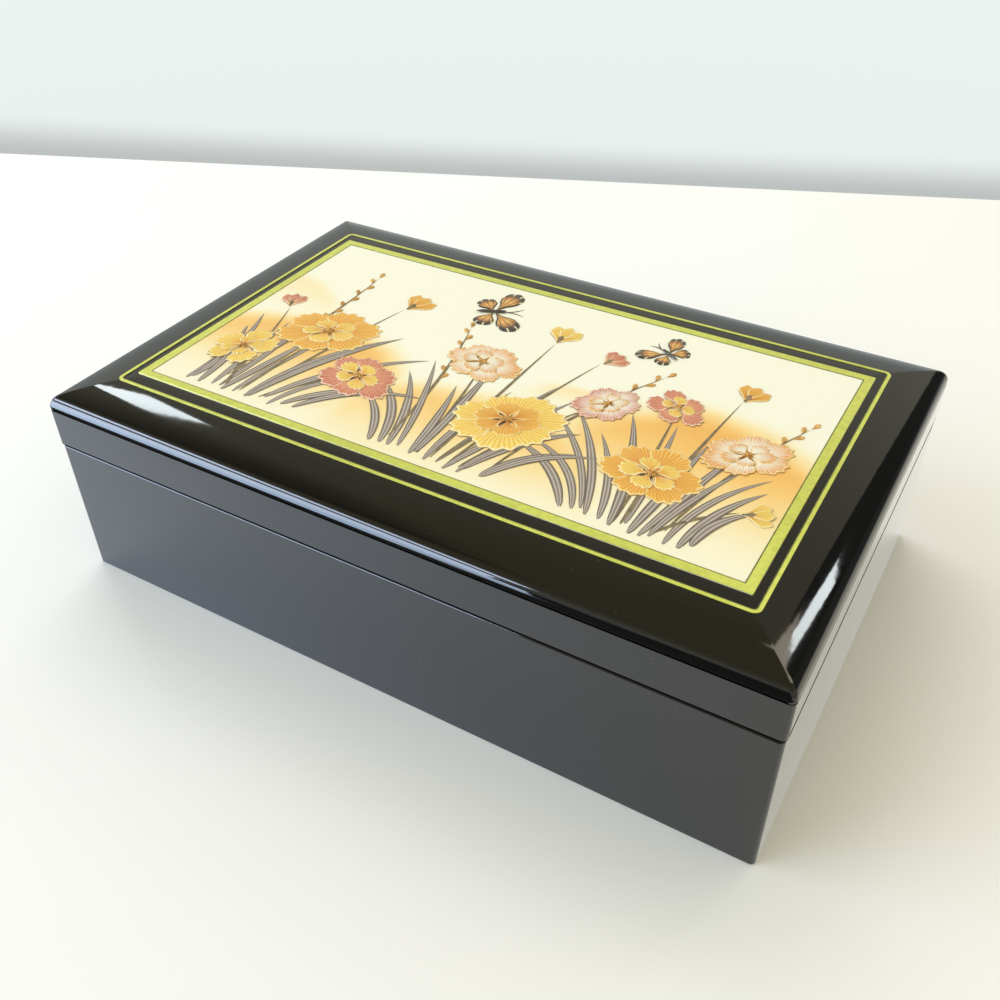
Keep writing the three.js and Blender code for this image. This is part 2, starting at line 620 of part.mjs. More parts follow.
// Ring rolls: soft sausages that stand side by side, full at the crown and drawn in towards their ends.
const rollY0 = LINING_Y0 + SOFT_GAP;
const rollPitch = (WELL_Y - SOFT_GAP - rollY0) / ROLL_COUNT;
const rollHalf = (rollPitch - SOFT_GAP) / 2;
const rollX0 = -LINING_X + SOFT_GAP;
const rollX1 = LEFT_DIVIDER_X - SOFT_GAP;
function ringRoll(midY) {
  const z0 = FLOOR_TOP_Z + SOFT_GAP;
  const section = [];
  const base = [[-0.82, 0], [-0.98, 0.18], [-1, 0.45]];
  for (let i = 0; i <= 10; i++) {
    const a = Math.PI * (1 - i / 10);
    section.push([Math.cos(a), 0.72 + 0.28 * Math.sin(a)]);
  }
  const full = [...base, ...section, ...base.map(([y, z]) => [-y, z]).reverse()];
  const stations = [
    [0, 0.62], [0.012, 0.84], [0.035, 0.95], [0.09, 1], [0.5, 1],
    [0.91, 1], [0.965, 0.95], [0.988, 0.84], [1, 0.62],
  ];
  const rings = stations.map(([t, s]) => full.map(([y, z]) => [
    rollX0 + (rollX1 - rollX0) * t,
    midY - y * rollHalf * s,
    z0 + (ROLL_TOP_Z - z0) * (z < 0.01 ? 0.02 * (1 - s) : z * (0.25 + 0.75 * s)),
  ]));
  return loft(rings);
}
for (let i = 0; i < ROLL_COUNT; i++) {
  add(`ring_roll_${i + 1}`, ringRoll(rollY0 + SOFT_GAP / 2 + rollHalf + i * rollPitch), velvet);
}

// Toothed outline with straight flanks. Half widths are shares of the tooth pitch.
function teeth(count, tipR, rootR, tipHalf, rootHalf, phase, cx = 0, cy = 0) {
  const step = 2 * Math.PI / count;
  const points = [];
  for (let k = 0; k < count; k++) {
    for (const [r, side] of [[rootR, -rootHalf], [tipR, -tipHalf], [tipR, tipHalf], [rootR, rootHalf]]) {
      const a = phase + step * (k + side);
      points.push([cx + r * Math.cos(a), cy + r * Math.sin(a)]);
    }
  }
  return points;
}

// Spring barrel: a drum on the winding arbor, with crown teeth on its upper rim.
const crownStep = 2 * Math.PI / CROWN_TEETH;
function crownTooth(k) {
  const rIn = CROWN_R - 1.6;
  const rOut = DRUM_R - 0.15;
  const a = crownStep * k;
  const at = (r, half, z) => {
    const t = a + Math.asin(half / r);
    return [BARREL_X + r * Math.cos(t), MOVEMENT_Y + r * Math.sin(t), z];
  };
  const foot = 0.46;
  const tip = 0.2;
  const low = DRUM_TOP_Z - 0.2;
  const high = DRUM_TOP_Z + CROWN_TOOTH_H;
  return loft([
    [
      at(rIn, -foot * rIn / CROWN_R, low), at(rOut, -foot, low),
      at(rOut, foot, low), at(rIn, foot * rIn / CROWN_R, low),
    ],
    [
      at(rIn, -tip * rIn / CROWN_R, high), at(rOut, -tip, high),
      at(rOut, tip, high), at(rIn, tip * rIn / CROWN_R, high),
    ],
  ]);
}
const drum = union(
  rodZ(BARREL_X, MOVEMENT_Y, DRUM_R, DRUM_Z, DRUM_TOP_Z, 36),
  ...Array.from({ length: CROWN_TEETH }, (_, k) => crownTooth(k)),
);
add('spring_barrel', cut(
  drum,
  rodZ(BARREL_X, MOVEMENT_Y, ARBOR_R + ARBOR_CLEARANCE, DRUM_Z - 1, DRUM_TOP_Z + 3, 20),
), brass);

// Winding arbor and butterfly key, in the recess under the bottom board.
const keyTopZ = BOARD_Z - 1.1;
add('winding_arbor', rodZ(BARREL_X, MOVEMENT_Y, ARBOR_R, keyTopZ - 6, DRUM_TOP_Z + 1.4, 20), steel);
function keyWings() {
  const lobe = KEY_SPAN / 2 - 4.2;
  const midZ = keyTopZ / 2 + 0.4;
  const top = [];
  const bottom = [];
  for (let i = 0; i <= 10; i++) {
    const a = THREE.MathUtils.degToRad(140 - 28 * i);
    top.push([lobe + 4.2 * Math.cos(a), midZ + 4.2 * Math.sin(a)]);
  }
  for (const [x, z] of top) {
    bottom.push([-x, 2 * midZ - z]);
  }
  const points = [...top, ...bottom].map(([x, z]) => [z, x + BARREL_X]);
  return alongY(prism(points, MOVEMENT_Y - KEY_WING_T / 2, MOVEMENT_Y + KEY_WING_T / 2));
}
add('winding_key', cut(
  union(rodZ(BARREL_X, MOVEMENT_Y, KEY_HUB_R, 1.6, keyTopZ, 20), keyWings()),
  rodZ(BARREL_X, MOVEMENT_Y, ARBOR_R + 0.05, keyTopZ - 6.1, keyTopZ + 1, 20),
), brass);

// Bedplate casting: plate, comb ledge and the two posts that carry the cylinder.
const LEDGE_Y1 = BEDPLATE_Y0 + 9;
const COMB_Z = STAFF_Z - 0.45;
const LEDGE_TOP_Z = COMB_Z - 0.5;
const COMB_SCREW_XS = [CYLINDER_X0 + 4.5, CYLINDER_X1 - 4.5];
const COMB_SCREW_Y = BEDPLATE_Y0 + 5;
function post(x0, toIdler) {
  const y0 = MOVEMENT_Y - POST_HALF;
  const y1 = MOVEMENT_Y + POST_HALF;
  const low = BEDPLATE_TOP_Z - 0.3;
  const crown = [];
  for (let i = 0; i <= 6; i++) {
    const a = Math.PI * (1 - i / 6);
    crown.push([MOVEMENT_Y + POST_HALF * Math.cos(a), STAFF_Z + POST_HALF * Math.sin(a)]);
  }
  const points = toIdler
    ? [[y0, low], ...crown, [IDLER_Y + 2.4, IDLER_Z + 2.6], [IDLER_Y + 2.4, low]]
    : [[y0, low], ...crown, [y1, low]];
  const bores = [rodX(MOVEMENT_Y, STAFF_Z, STAFF_R + STAFF_CLEARANCE, x0 - 1, x0 + POST_T + 1)];
  if (toIdler) {
    bores.push(rodX(IDLER_Y, IDLER_Z, STAFF_R * 0.7 + STAFF_CLEARANCE, x0 - 1, x0 + POST_T + 1));
  }
  return cut(alongX(prism(points.reverse(), x0, x0 + POST_T)), ...bores);
}
add('bedplate', cut(
  union(
    prism(roundedRect(BEDPLATE_X0, BEDPLATE_X1, BEDPLATE_Y0, BEDPLATE_Y1, 3, 3), FLOOR_Z, BEDPLATE_TOP_Z),
    block(
      CYLINDER_X0 - 0.5, CYLINDER_X1 + 0.5, BEDPLATE_Y0 + 1, LEDGE_Y1,
      BEDPLATE_TOP_Z - 0.3, LEDGE_TOP_Z,
    ),
    post(LEFT_POST_X, false),
    post(RIGHT_POST_X, true),
  ),
  rodZ(BARREL_X, MOVEMENT_Y, ARBOR_R + ARBOR_CLEARANCE, FLOOR_Z - 1, BEDPLATE_TOP_Z + 1, 20),
  ...MOVEMENT_SCREWS.map(
    ([x, y]) => rodZ(x, y, MOVEMENT_SCREW_R + SEAT_GAP, FLOOR_Z - 1, BEDPLATE_TOP_Z + 1, 10),
  ),
  ...COMB_SCREW_XS.map((x) => rodZ(x, COMB_SCREW_Y, 1.1, LEDGE_TOP_Z - 6, LEDGE_TOP_Z + 1, 10)),
), zinc);
MOVEMENT_SCREWS.forEach(([x, y], i) => {
  const head = rodZ(x, y, 2.5, BOARD_Z - SEAT_GAP - 1.5, BOARD_Z - SEAT_GAP, 16);
  const shank = rodZ(x, y, MOVEMENT_SCREW_R, BOARD_Z - SEAT_GAP - 0.3, BEDPLATE_TOP_Z - 0.3, 10);
  const slot = block(x - 3, x + 3, y - 0.35, y + 0.35, BOARD_Z - 3, BOARD_Z - SEAT_GAP - 1);
  add(`movement_screw_${i + 1}`, cut(union(head, shank), slot), steel);
});

// Pinned cylinder on its staff. Each row of pins plucks one tooth of the comb.
const rowPitch = (CYLINDER_L - 1.5) / PIN_ROWS;
const rowX = (row) => CYLINDER_X0 + 0.75 + rowPitch * (row + 0.5);
function musicPin(row, turn) {
  const half = MUSIC_PIN_W / 2;
  const g = new THREE.BoxGeometry(MUSIC_PIN_W, MUSIC_PIN_W, MUSIC_PIN_H + 0.3);
  const p = g.attributes.position;
  for (let i = 0; i < p.count; i++) {
    if (p.getZ(i) > 0) {
      p.setXY(i, Math.sign(p.getX(i)) * half * 0.6, Math.sign(p.getY(i)) * half * 0.6);
    }
  }
  g.translate(0, 0, CYLINDER_R - 0.3 + (MUSIC_PIN_H + 0.3) / 2);
  g.rotateX(2 * Math.PI * turn);
  return g.translate(rowX(row), MOVEMENT_Y, STAFF_Z);
}
const pins = [];
for (let row = 0; row < PIN_ROWS; row++) {
  for (let k = 0; k < PINS_PER_ROW; k++) {
    const wander = ((row * 7 + k * 11 + (row * k) % 5) % 13) / 13;
    pins.push(musicPin(row, (k + 0.15 + 0.7 * wander) / PINS_PER_ROW));
  }
}
add('cylinder', cut(
  union(rodX(MOVEMENT_Y, STAFF_Z, CYLINDER_R, CYLINDER_X0, CYLINDER_X1, 32), ...pins),
  rodX(MOVEMENT_Y, STAFF_Z, STAFF_R + 0.05, CYLINDER_X0 - 1, CYLINDER_X1 + 1, 16),
), brass);
const pinionX0 = BARREL_X + CROWN_R - 1.5;
const pinionX1 = pinionX0 + DRIVE_PINION_L;
const drivePhase = -Math.PI / 2 + Math.PI / DRIVE_PINION_TEETH;
add('cylinder_staff', union(
  rodX(MOVEMENT_Y, STAFF_Z, STAFF_R, pinionX0 - 0.6, RIGHT_POST_X + POST_T + 0.8, 16),
  alongX(prism(
    teeth(
      DRIVE_PINION_TEETH, DRIVE_PINION_R + 0.5, DRIVE_PINION_R - 0.6,
      0.12, 0.24, drivePhase, MOVEMENT_Y, STAFF_Z,
    ),
    pinionX0, pinionX1,
  )),
), steel);
add('train_wheel', cut(
  alongX(prism(
    teeth(
      TRAIN_WHEEL_TEETH, TRAIN_WHEEL_R + 0.34, TRAIN_WHEEL_R - 0.42,
      0.11, 0.27, TRAIN_ANGLE, MOVEMENT_Y, STAFF_Z,
    ),
    WHEEL_X0, WHEEL_X1,
  )),
  rodX(MOVEMENT_Y, STAFF_Z, STAFF_R + 0.05, WHEEL_X0 - 1, WHEEL_X1 + 1, 16),
), brass);

// Comb: tuned steel teeth, longest for the bass, fixed to its ledge by two screws.
const combTipY = MOVEMENT_Y - CYLINDER_R - MUSIC_PIN_H - COMB_CLEARANCE;
const combBackY = BEDPLATE_Y0 + 1.4;
const combRoot = (x) => LEDGE_Y1 + 0.6 + 4 * (x - CYLINDER_X0) / CYLINDER_L;
function combOutline() {
  const half = rowPitch * 0.36;
  const x0 = CYLINDER_X0 + 0.2;
  const x1 = CYLINDER_X1 - 0.2;
  const points = [[x0, combBackY], [x1, combBackY], [x1, combRoot(x1)]];
  for (let row = PIN_ROWS - 1; row >= 0; row--) {
    const x = rowX(row);
    points.push(
      [x + half, combRoot(x + half)], [x + half, combTipY],
      [x - half, combTipY], [x - half, combRoot(x - half)],
    );
  }
  points.push([x0, combRoot(x0)]);
  return points;
}
add('comb', cut(
  union(
    prism(combOutline(), COMB_Z, COMB_Z + 0.9),
    prism([
      [CYLINDER_X0 + 0.2, combBackY],
      [CYLINDER_X1 - 0.2, combBackY],
      [CYLINDER_X1 - 0.2, combRoot(CYLINDER_X1) - 0.4],
      [CYLINDER_X0 + 0.2, combRoot(CYLINDER_X0) - 0.4],
    ], COMB_Z - 0.4, COMB_Z + 1.3),
  ),
  ...COMB_SCREW_XS.map((x) => rodZ(x, COMB_SCREW_Y, 1.15, COMB_Z - 2, COMB_Z + 3, 12)),
), steel);
COMB_SCREW_XS.forEach((x, i) => {
  const headZ = COMB_Z + 1.3 + SEAT_GAP;
  const head = rodZ(x, COMB_SCREW_Y, 1.9, headZ, headZ + 1.2, 16);
  const shank = rodZ(x, COMB_SCREW_Y, 1, LEDGE_TOP_Z - 5.5, headZ + 0.3, 10);
  const slot = block(x - 2.2, x + 2.2, COMB_SCREW_Y - 0.25, COMB_SCREW_Y + 0.25, headZ + 0.7, headZ + 2);
  add(`comb_screw_${i + 1}`, cut(union(head, shank), slot), steel);
});

// Idler: a pinion driven by the cylinder's wheel, and the wheel that turns the worm.
const IDLER_R = STAFF_R * 0.7;
const idlerPhase = TRAIN_ANGLE + Math.PI + Math.PI / TRAIN_PINION_TEETH;
add('idler_staff', union(
  rodX(IDLER_Y, IDLER_Z, IDLER_R, WHEEL_X0 - 0.1, BRACKET_X + BRACKET_T + 0.5, 14),
  alongX(prism(
    teeth(
      TRAIN_PINION_TEETH, TRAIN_PINION_R + 0.34, TRAIN_PINION_R - 0.42,
      0.1, 0.24, idlerPhase, IDLER_Y, IDLER_Z,
    ),
    WHEEL_X0 + 0.1, WHEEL_X1 - 0.1,
  )),
), steel);
add('worm_wheel', cut(
  alongX(prism(
    teeth(WORM_WHEEL_TEETH, WORM_WHEEL_R + 0.4, WORM_WHEEL_R - 0.6, 0.1, 0.24, 0, IDLER_Y, IDLER_Z),
    GOVERNOR_X - WORM_WHEEL_T / 2, GOVERNOR_X + WORM_WHEEL_T / 2,
  )),
  rodX(IDLER_Y, IDLER_Z, IDLER_R + 0.05, GOVERNOR_X - 2, GOVERNOR_X + 2, 14),
), brass);

// Governor: a single-start worm on an upright shaft, with the fan that brakes it above.
function worm() {
  const z0 = IDLER_Z - WORM_TURNS * WORM_PITCH / 2;
  const rings = [];
  for (let j = 0; j <= WORM_TURNS * WORM_STEPS; j++) {
    const z = z0 + WORM_PITCH * j / WORM_STEPS;
    const ring = [];
    for (let i = 0; i < WORM_STEPS; i++) {
      const a = 2 * Math.PI * i / WORM_STEPS;
      const turns = (z - IDLER_Z) / WORM_PITCH - 0.5 - (a - 1.5 * Math.PI) / (2 * Math.PI);
      const off = Math.abs(turns - Math.round(turns));
      const r = WORM_R + (off < 0.1 ? 0.42 : off < 0.2 ? 0 : -0.6);
      ring.push([GOVERNOR_X + r * Math.cos(a), WORM_Y + r * Math.sin(a), z]);
    }
    rings.push(ring);
  }
  return loft(rings);
}
const shaftTopZ = FAN_Z + FAN_H - 0.1;
add('governor_worm', union(
  worm(),
  rodZ(GOVERNOR_X, WORM_Y, WORM_SHAFT_R, BOTTOM_ARM_Z - 0.4, shaftTopZ, 12),
), steel);
add('governor_fan', cut(
  union(
    rodZ(GOVERNOR_X, WORM_Y, 1.3, FAN_Z, FAN_Z + FAN_H, 16),
    block(GOVERNOR_X - FAN_R, GOVERNOR_X + FAN_R, WORM_Y - 0.3, WORM_Y + 0.3, FAN_Z + 0.2, FAN_Z + FAN_H),
  ),
  rodZ(GOVERNOR_X, WORM_Y, WORM_SHAFT_R + 0.05, FAN_Z - 1, FAN_Z + FAN_H + 1, 12),
), nylon);

// Governor bracket: an upright plate with two arms that carry the worm and guide the stop rod.
function bracketArm(z) {
  const bore = (x, r) => rodZ(x, WORM_Y, r, z - 1, z + BRACKET_T + 1, 14);
  return cut(
    prism(
      roundedRect(STOP_ROD_X - 2.2, BRACKET_X + 0.2, WORM_Y - 2.2, WORM_Y + 2.2, 1.2, 3),
      z, z + BRACKET_T,
    ),
    bore(GOVERNOR_X, WORM_SHAFT_R + STAFF_CLEARANCE),
    bore(STOP_ROD_X, STOP_ROD_R + STAFF_CLEARANCE),
  );
}
add('governor_bracket', cut(
  union(
    block(
      BRACKET_X, BRACKET_X + BRACKET_T, IDLER_Y - 2.6, WORM_Y + 2.2,
      BEDPLATE_TOP_Z + SEAT_GAP, TOP_ARM_Z + BRACKET_T,
    ),
    bracketArm(TOP_ARM_Z),
    bracketArm(BOTTOM_ARM_Z),
  ),
  rodX(IDLER_Y, IDLER_Z, IDLER_R + STAFF_CLEARANCE, BRACKET_X - 1, BRACKET_X + BRACKET_T + 1, 14),
), brass);

// Stop rod: the closed lid holds it down, and its foot then stands over the fan.
const stopTopZ = FRAME_Z - 0.3;
add('stop_rod', union(
  rodZ(STOP_ROD_X, WORM_Y, STOP_ROD_R, BOTTOM_ARM_Z - 0.6, stopTopZ, 14),
  block(STOP_ROD_X, GOVERNOR_X + 1, WORM_Y - 0.7, WORM_Y + 0.7, STOP_FOOT_Z, STOP_FOOT_Z + STOP_FOOT_T),
), steel);

export default box;
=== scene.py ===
# Musical jewelry box in black lacquer, with a relief picture let into its lid.
# Shapes are drawn in millimetres in the frame of the solids and become metres when a piece is made.
import functools
import json
import random
from math import asin, atan2, copysign, cos, degrees, exp, hypot, pi, radians, sin, sqrt, tan

import bmesh
import bpy
from mathutils import Matrix, Vector

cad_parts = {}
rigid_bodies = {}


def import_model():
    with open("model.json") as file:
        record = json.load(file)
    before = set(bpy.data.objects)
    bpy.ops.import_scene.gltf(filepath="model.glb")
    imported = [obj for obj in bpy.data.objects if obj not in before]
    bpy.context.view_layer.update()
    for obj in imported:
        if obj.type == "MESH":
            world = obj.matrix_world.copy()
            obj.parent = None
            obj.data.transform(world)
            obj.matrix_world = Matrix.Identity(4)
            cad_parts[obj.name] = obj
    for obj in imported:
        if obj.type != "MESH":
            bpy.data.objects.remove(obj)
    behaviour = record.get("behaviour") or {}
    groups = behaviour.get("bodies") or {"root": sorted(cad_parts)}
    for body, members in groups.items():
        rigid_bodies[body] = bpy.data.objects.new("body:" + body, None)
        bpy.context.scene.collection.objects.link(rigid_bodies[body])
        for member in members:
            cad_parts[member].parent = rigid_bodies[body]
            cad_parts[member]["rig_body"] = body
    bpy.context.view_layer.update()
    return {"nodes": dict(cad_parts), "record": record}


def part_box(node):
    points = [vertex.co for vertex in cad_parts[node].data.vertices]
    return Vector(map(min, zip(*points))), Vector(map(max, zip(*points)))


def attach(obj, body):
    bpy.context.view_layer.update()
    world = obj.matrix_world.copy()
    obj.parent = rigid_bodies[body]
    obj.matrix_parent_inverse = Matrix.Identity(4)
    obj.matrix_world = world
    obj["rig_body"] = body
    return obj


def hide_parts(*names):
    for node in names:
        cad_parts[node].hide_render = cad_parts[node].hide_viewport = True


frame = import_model()
MM = 0.001


def box_mm(node):
    """Lowest and highest corner of a solid, in millimetres."""
    low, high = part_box(node)
    return low / MM, high / MM


LID_LO, LID_HI = box_mm("lid_shell")
BASE_LO, BASE_HI = box_mm("base_case")
PANEL_LO, PANEL_HI = box_mm("picture_panel")
BAND_LO, BAND_HI = box_mm("wall_lining")
BOARD_LO, BOARD_HI = box_mm("bottom_board")
FRAME_LO, FRAME_HI = box_mm("mirror_frame")
MIRROR_LO, MIRROR_HI = box_mm("mirror")
PIN_LO, PIN_HI = box_mm("hinge_pin")
LEAF_LO, LEAF_HI = box_mm("hinge_leaf_base")

# Sizes that the solids have as well
BULLNOSE_R = 4
CROWN_RUN = 20
ROLL_EDGE_H = 6.55
PANEL_STAND = 0.3
WALL = 9.5
BACK_WALL = 14
BOARD_LEDGE = 4
FIT_GAP = 0.15
LINING_T = 1.2
LEAF_T = 0.8
LID_BEVEL_DEG = 55
BASE_BEVEL_DEG = 42
GROOVE_R = 2.05
CORNER_R = 1.5

# Sizes that only the looks have
BORDER_W = 2.7
QUIRK_IN = 0.14
QUIRK_LOW, QUIRK_HIGH = 0.75, 0.1
LID_RIM_R = 0.8
SHADE_STRIP_H = 2.4
BASE_INSET = 0.3
BASE_RIM_R = 0.5
GOLD_LINE_X, GOLD_LINE_Y, GOLD_LINE_W = 99.7, 58.15, 1.0
OLIVE_LINE_W = 0.3
SHEET_DROP = 0.15

# Sizes worked out from the frame
CAVITY_X = LID_HI.x - WALL
CAVITY_Y0 = LID_LO.y + WALL
CAVITY_Y1 = LID_HI.y - BACK_WALL
SEAM_Z = (LID_LO.z + BASE_HI.z) / 2
PIVOT_Y = (PIN_LO.y + PIN_HI.y) / 2
LID_CAVITY_Z = MIRROR_HI.z + 0.1


# Colours, nodes and finishes
def linear(hex_colour):
    """An sRGB hex colour as linear red, green, blue and alpha."""
    values = [int(hex_colour[i:i + 2], 16) / 255 for i in (1, 3, 5)]
    return [v / 12.92 if v <= 0.04045 else ((v + 0.055) / 1.055) ** 2.4 for v in values] + [1.0]


def fill(node, *values, **named):
    """Fills a node's sockets, in order or by name: a node or socket is linked, a hex colour made linear, the rest
    set as it is."""
    sockets = [socket for socket in node.inputs if socket.enabled]
    by_name = {socket.name: socket for socket in reversed(sockets)}
    wanted = [(by_name[name.replace("_", " ")], value) for name, value in named.items()]
    for socket, value in [*zip(sockets, values), *wanted]:
        if isinstance(value, bpy.types.Node):
            value = next(out for out in value.outputs if out.enabled)
        if isinstance(value, bpy.types.NodeSocket):
            node.id_data.links.new(value, socket)
        else:
            socket.default_value = linear(value) if str(value).startswith("#") else value
    return node


def add_node(tree, kind, *values, ramp=None, **named):
    """Adds a node and fills it. Names in small letters are its settings, and a colon leads to a Math node's operation.
    Math and Mix take their sockets in order, Map Range its value, from and to, and a texture its place and scale.
    A ramp is a list of (place, hex)."""
    kind, _, operation = kind.partition(":")
    node = tree.nodes.new(kind if kind.startswith(("Geometry", "Function", "NodeGroup")) else "ShaderNode" + kind)
    if kind == "Mix":
        node.data_type = "RGBA"
    elif operation:
        node.operation = operation
    for name in [name for name in named if name[0].islower()]:
        setattr(node, name, named.pop(name))
    if ramp:
        stops = node.color_ramp.elements
        while len(stops) > 1:
            stops.remove(stops[-1])
        stops[0].position, stops[0].color = ramp[0][0], linear(ramp[0][1])
        for place, colour in ramp[1:]:
            stops.new(place).color = linear(colour)
    return fill(node, *values, **named)


def in_scene(name, data):
    """A new object, put into the scene."""
    obj = bpy.data.objects.new(name, data)
    bpy.context.scene.collection.objects.link(obj)
    return obj


def new_finish(name, **plain):
    """A material with one Principled shader. Returns it, what adds its nodes, its shader and the place on the piece."""
    finish = bpy.data.materials.new(name)
    finish.use_nodes = True
    add = functools.partial(add_node, finish.node_tree)
    return finish, add, fill(finish.node_tree.nodes["Principled BSDF"], **plain), add("TexCoord").outputs["Object"]


def black_lacquer():
    """Polyester lacquer, sprayed thick on wood and buffed: deep black, mirror gloss, faint orange peel and a few
    specks of dust."""
    finish, add, surface, place = new_finish("polished_black_polyester_lacquer", IOR=1.56)
    haze = add("TexNoise", place, 1000 / 40, Detail=4.0, Roughness=0.6)
    rough = add("MapRange", haze, 0.3, 0.75, 0.03, 0.075)
    fill(surface, Roughness=rough)
    speck = add("TexVoronoi", place, 1000 / 4.5)
    near = add("MapRange", speck, 0.055, 0.025)
    where = add("TexNoise", place, 1000 / 26, Detail=2.0)
    some = add("MapRange", where, 0.5, 0.66, 0.0, 0.4)
    dust = add("Math:MULTIPLY", near, some)
    depth = add("Mix", haze, "#050506", "#0a0a0b")
    colour = add("Mix", dust, depth, "#8d8f92")
    fill(surface, Base_Color=colour)
    peel = add("TexNoise", place, 1000 / 3.2, Detail=1.0)
    bump = add("Bump", Strength=1.0, Distance=0.000006, Height=peel)
    fill(surface, Normal=bump)
    return finish


def gold_ink():
    """Greenish gold metallic ink, screen printed in one thick coat: bright yellow-green with a faint mottle."""
    finish, add, surface, place = new_finish("greenish_gold_screen_ink", Metallic=0.25, Roughness=0.34, Coat_Weight=0.4)
    mottle = add("TexNoise", place, 1000 / 1.8, Detail=3.0)
    drift = add("TexNoise", place, 1000 / 60)
    both = add("Math:MULTIPLY", mottle, drift)
    colour = add("ValToRGB", both, ramp=[(0.1, "#c4c856"), (0.26, "#d4da60"), (0.44, "#e0e572")])
    bump = add("Bump", Strength=0.4, Distance=0.00001, Height=mottle)
    fill(surface, Base_Color=colour, Normal=bump)
    return finish


# Banks of mist in the picture, in mm from the middle of the panel: x, y, reach along x, reach along y and depth of tone
BANKS = [(-62, -42, 56, 50, 0.95), (6, -50, 54, 45, 0.8), (68, -38, 54, 56, 1.0), (-96, 2, 34, 22, 0.35),
         (34, -8, 30, 14, 0.4)]


def printed_foil():
    """Pressed and printed foil under a clear film: cream, with banks of amber mist that end softly above and fade
    away below."""
    finish, add, surface, place = new_finish("printed_cream_foil", Roughness=0.3, IOR=1.5, Coat_Weight=0.35,
                                             Coat_Roughness=0.12)
    drift = add("TexNoise", place, 1000 / 34, Detail=2.0)
    wander = add("VectorMath:SUBTRACT", drift.outputs["Color"], (0.5, 0.5, 0.5))
    moved = add("VectorMath:MULTIPLY", wander, (0.02, 0.014, 0.0))
    bent = add("VectorMath:ADD", place, moved)
    total = 0.0
    for x, y, reach_x, reach_y, depth in BANKS:
        spot = add("Mapping", bent, Location=(x * MM, y * MM, PANEL_HI.z * MM),
                   Scale=(reach_x * MM, reach_y * MM, 1.0), vector_type="TEXTURE")
        ball = add("TexGradient", spot, gradient_type="SPHERICAL")
        rim = add("MapRange", ball.outputs["Fac"], 0.0, 0.3, 0.0, depth, interpolation_type="SMOOTHSTEP")
        height = add("SeparateXYZ", spot)
        fade = add("MapRange", height.outputs["Y"], -0.2, 0.75, 0.12, interpolation_type="SMOOTHSTEP")
        bank = add("Math:MULTIPLY", rim, fade)
        total = add("Math:MAXIMUM", total, bank)
    grain = add("TexNoise", place, 1000 / 0.7, Detail=2.0)
    fine = add("MapRange", grain, 0.0, 1.0, -0.03, 0.03)
    tone = add("Math:ADD", total, fine)
    colour = add("ValToRGB", tone, ramp=[
        (0.0, "#f7f6e4"), (0.2, "#f8f0cf"), (0.5, "#f8dfa0"), (0.8, "#f6c873"), (1.0, "#f0b558")])
    bump = add("Bump", Strength=0.5, Distance=0.00002, Height=grain)
    fill(surface, Base_Color=colour, Normal=bump)
    return finish


def petal_print(name, heart, body, tip, vein, rim):
    """Embossed petal: ink from heart to tip, pale veins pressed along it in a fan, a pale gilt edge and a fine dark
    outline."""
    finish, add, surface, place = new_finish(name, Roughness=0.34, Coat_Weight=0.3, Coat_Roughness=0.15)
    parts = add("SeparateXYZ", add("Attribute", attribute_name="petal").outputs["Vector"])
    tone = add("Attribute", attribute_name="tone").outputs["Fac"]
    mottle = add("TexNoise", place, 1000 / 2.6, Detail=3.0)
    shift = add("MapRange", mottle, 0.0, 1.0, -0.14, 0.14)
    lighter = add("MapRange", tone, 0.0, 1.0, -0.1, 0.1)
    reach = add("Math:ADD", parts.outputs["X"], shift)
    reach = add("Math:ADD", reach, lighter)
    base = add("ValToRGB", reach, ramp=[(0.08, heart), (0.5, body), (0.95, tip)])
    # The veins sway a little, so that no two petals look alike.
    sway = add("MapRange", mottle, 0.0, 1.0, -0.06, 0.06)
    fan = add("Math:ADD", parts.outputs["Y"], sway)
    turns = add("Math:MULTIPLY", fan, 42.0)
    wave = add("Math:COSINE", turns)
    line = add("MapRange", wave, 0.45, 0.95, 0.0, 0.62)
    dark = add("MapRange", wave, -0.3, -0.95, 0.0, 0.22)
    fade = add("MapRange", parts.outputs["X"], 0.2, 0.55)
    veins = add("Math:MULTIPLY", line, fade)
    hollow = add("Mix", dark, base, "#9a5a24")
    inked = add("Mix", veins, hollow, linear(vein))
    gilt = add("MapRange", parts.outputs["Z"], 0.55, 0.75, 0.0, 0.85)
    edged = add("Mix", gilt, inked, linear(rim))
    line_out = add("MapRange", parts.outputs["Z"], 0.9, 0.97, 0.0, 0.8)
    colour = add("Mix", line_out, edged, "#a9702c")
    bump = add("Bump", Strength=0.8, Distance=0.00014, Height=veins)
    fill(surface, Base_Color=colour, Normal=bump)
    return finish


def blade_print():
    """Embossed grass blade: grey-brown with two pale ribs and a dark outline, brushed along its length."""
    finish, add, surface, place = new_finish("grey_brown_blade_print", Roughness=0.4, Coat_Weight=0.25,
                                             Coat_Roughness=0.2)
    along = add("Attribute", attribute_name="along").outputs["Fac"]
    across = add("Attribute", attribute_name="across").outputs["Fac"]
    side = add("Math:ABSOLUTE", across)
    mottle = add("TexNoise", place, 1000 / 3.5, Detail=3.0)
    base = add("Mix", mottle, "#7b7067", "#978a80")
    warm = add("MapRange", along, 0.55, 1.0, 0.0, 0.55)
    tipped = add("Mix", warm, base, "#6a6058")
    off = add("Math:SUBTRACT", side, 0.38)
    by = add("Math:ABSOLUTE", off)
    rib = add("MapRange", by, 0.2, 0.06, 0.0, 0.8)
    ribbed = add("Mix", rib, tipped, "#cdc3b8")
    edge = add("MapRange", side, 0.66, 0.9, 0.0, 0.9)
    colour = add("Mix", edge, ribbed, "#544a42")
    bump = add("Bump", Strength=0.5, Distance=0.00008, Height=rib)
    fill(surface, Base_Color=colour, Normal=bump)
    return finish


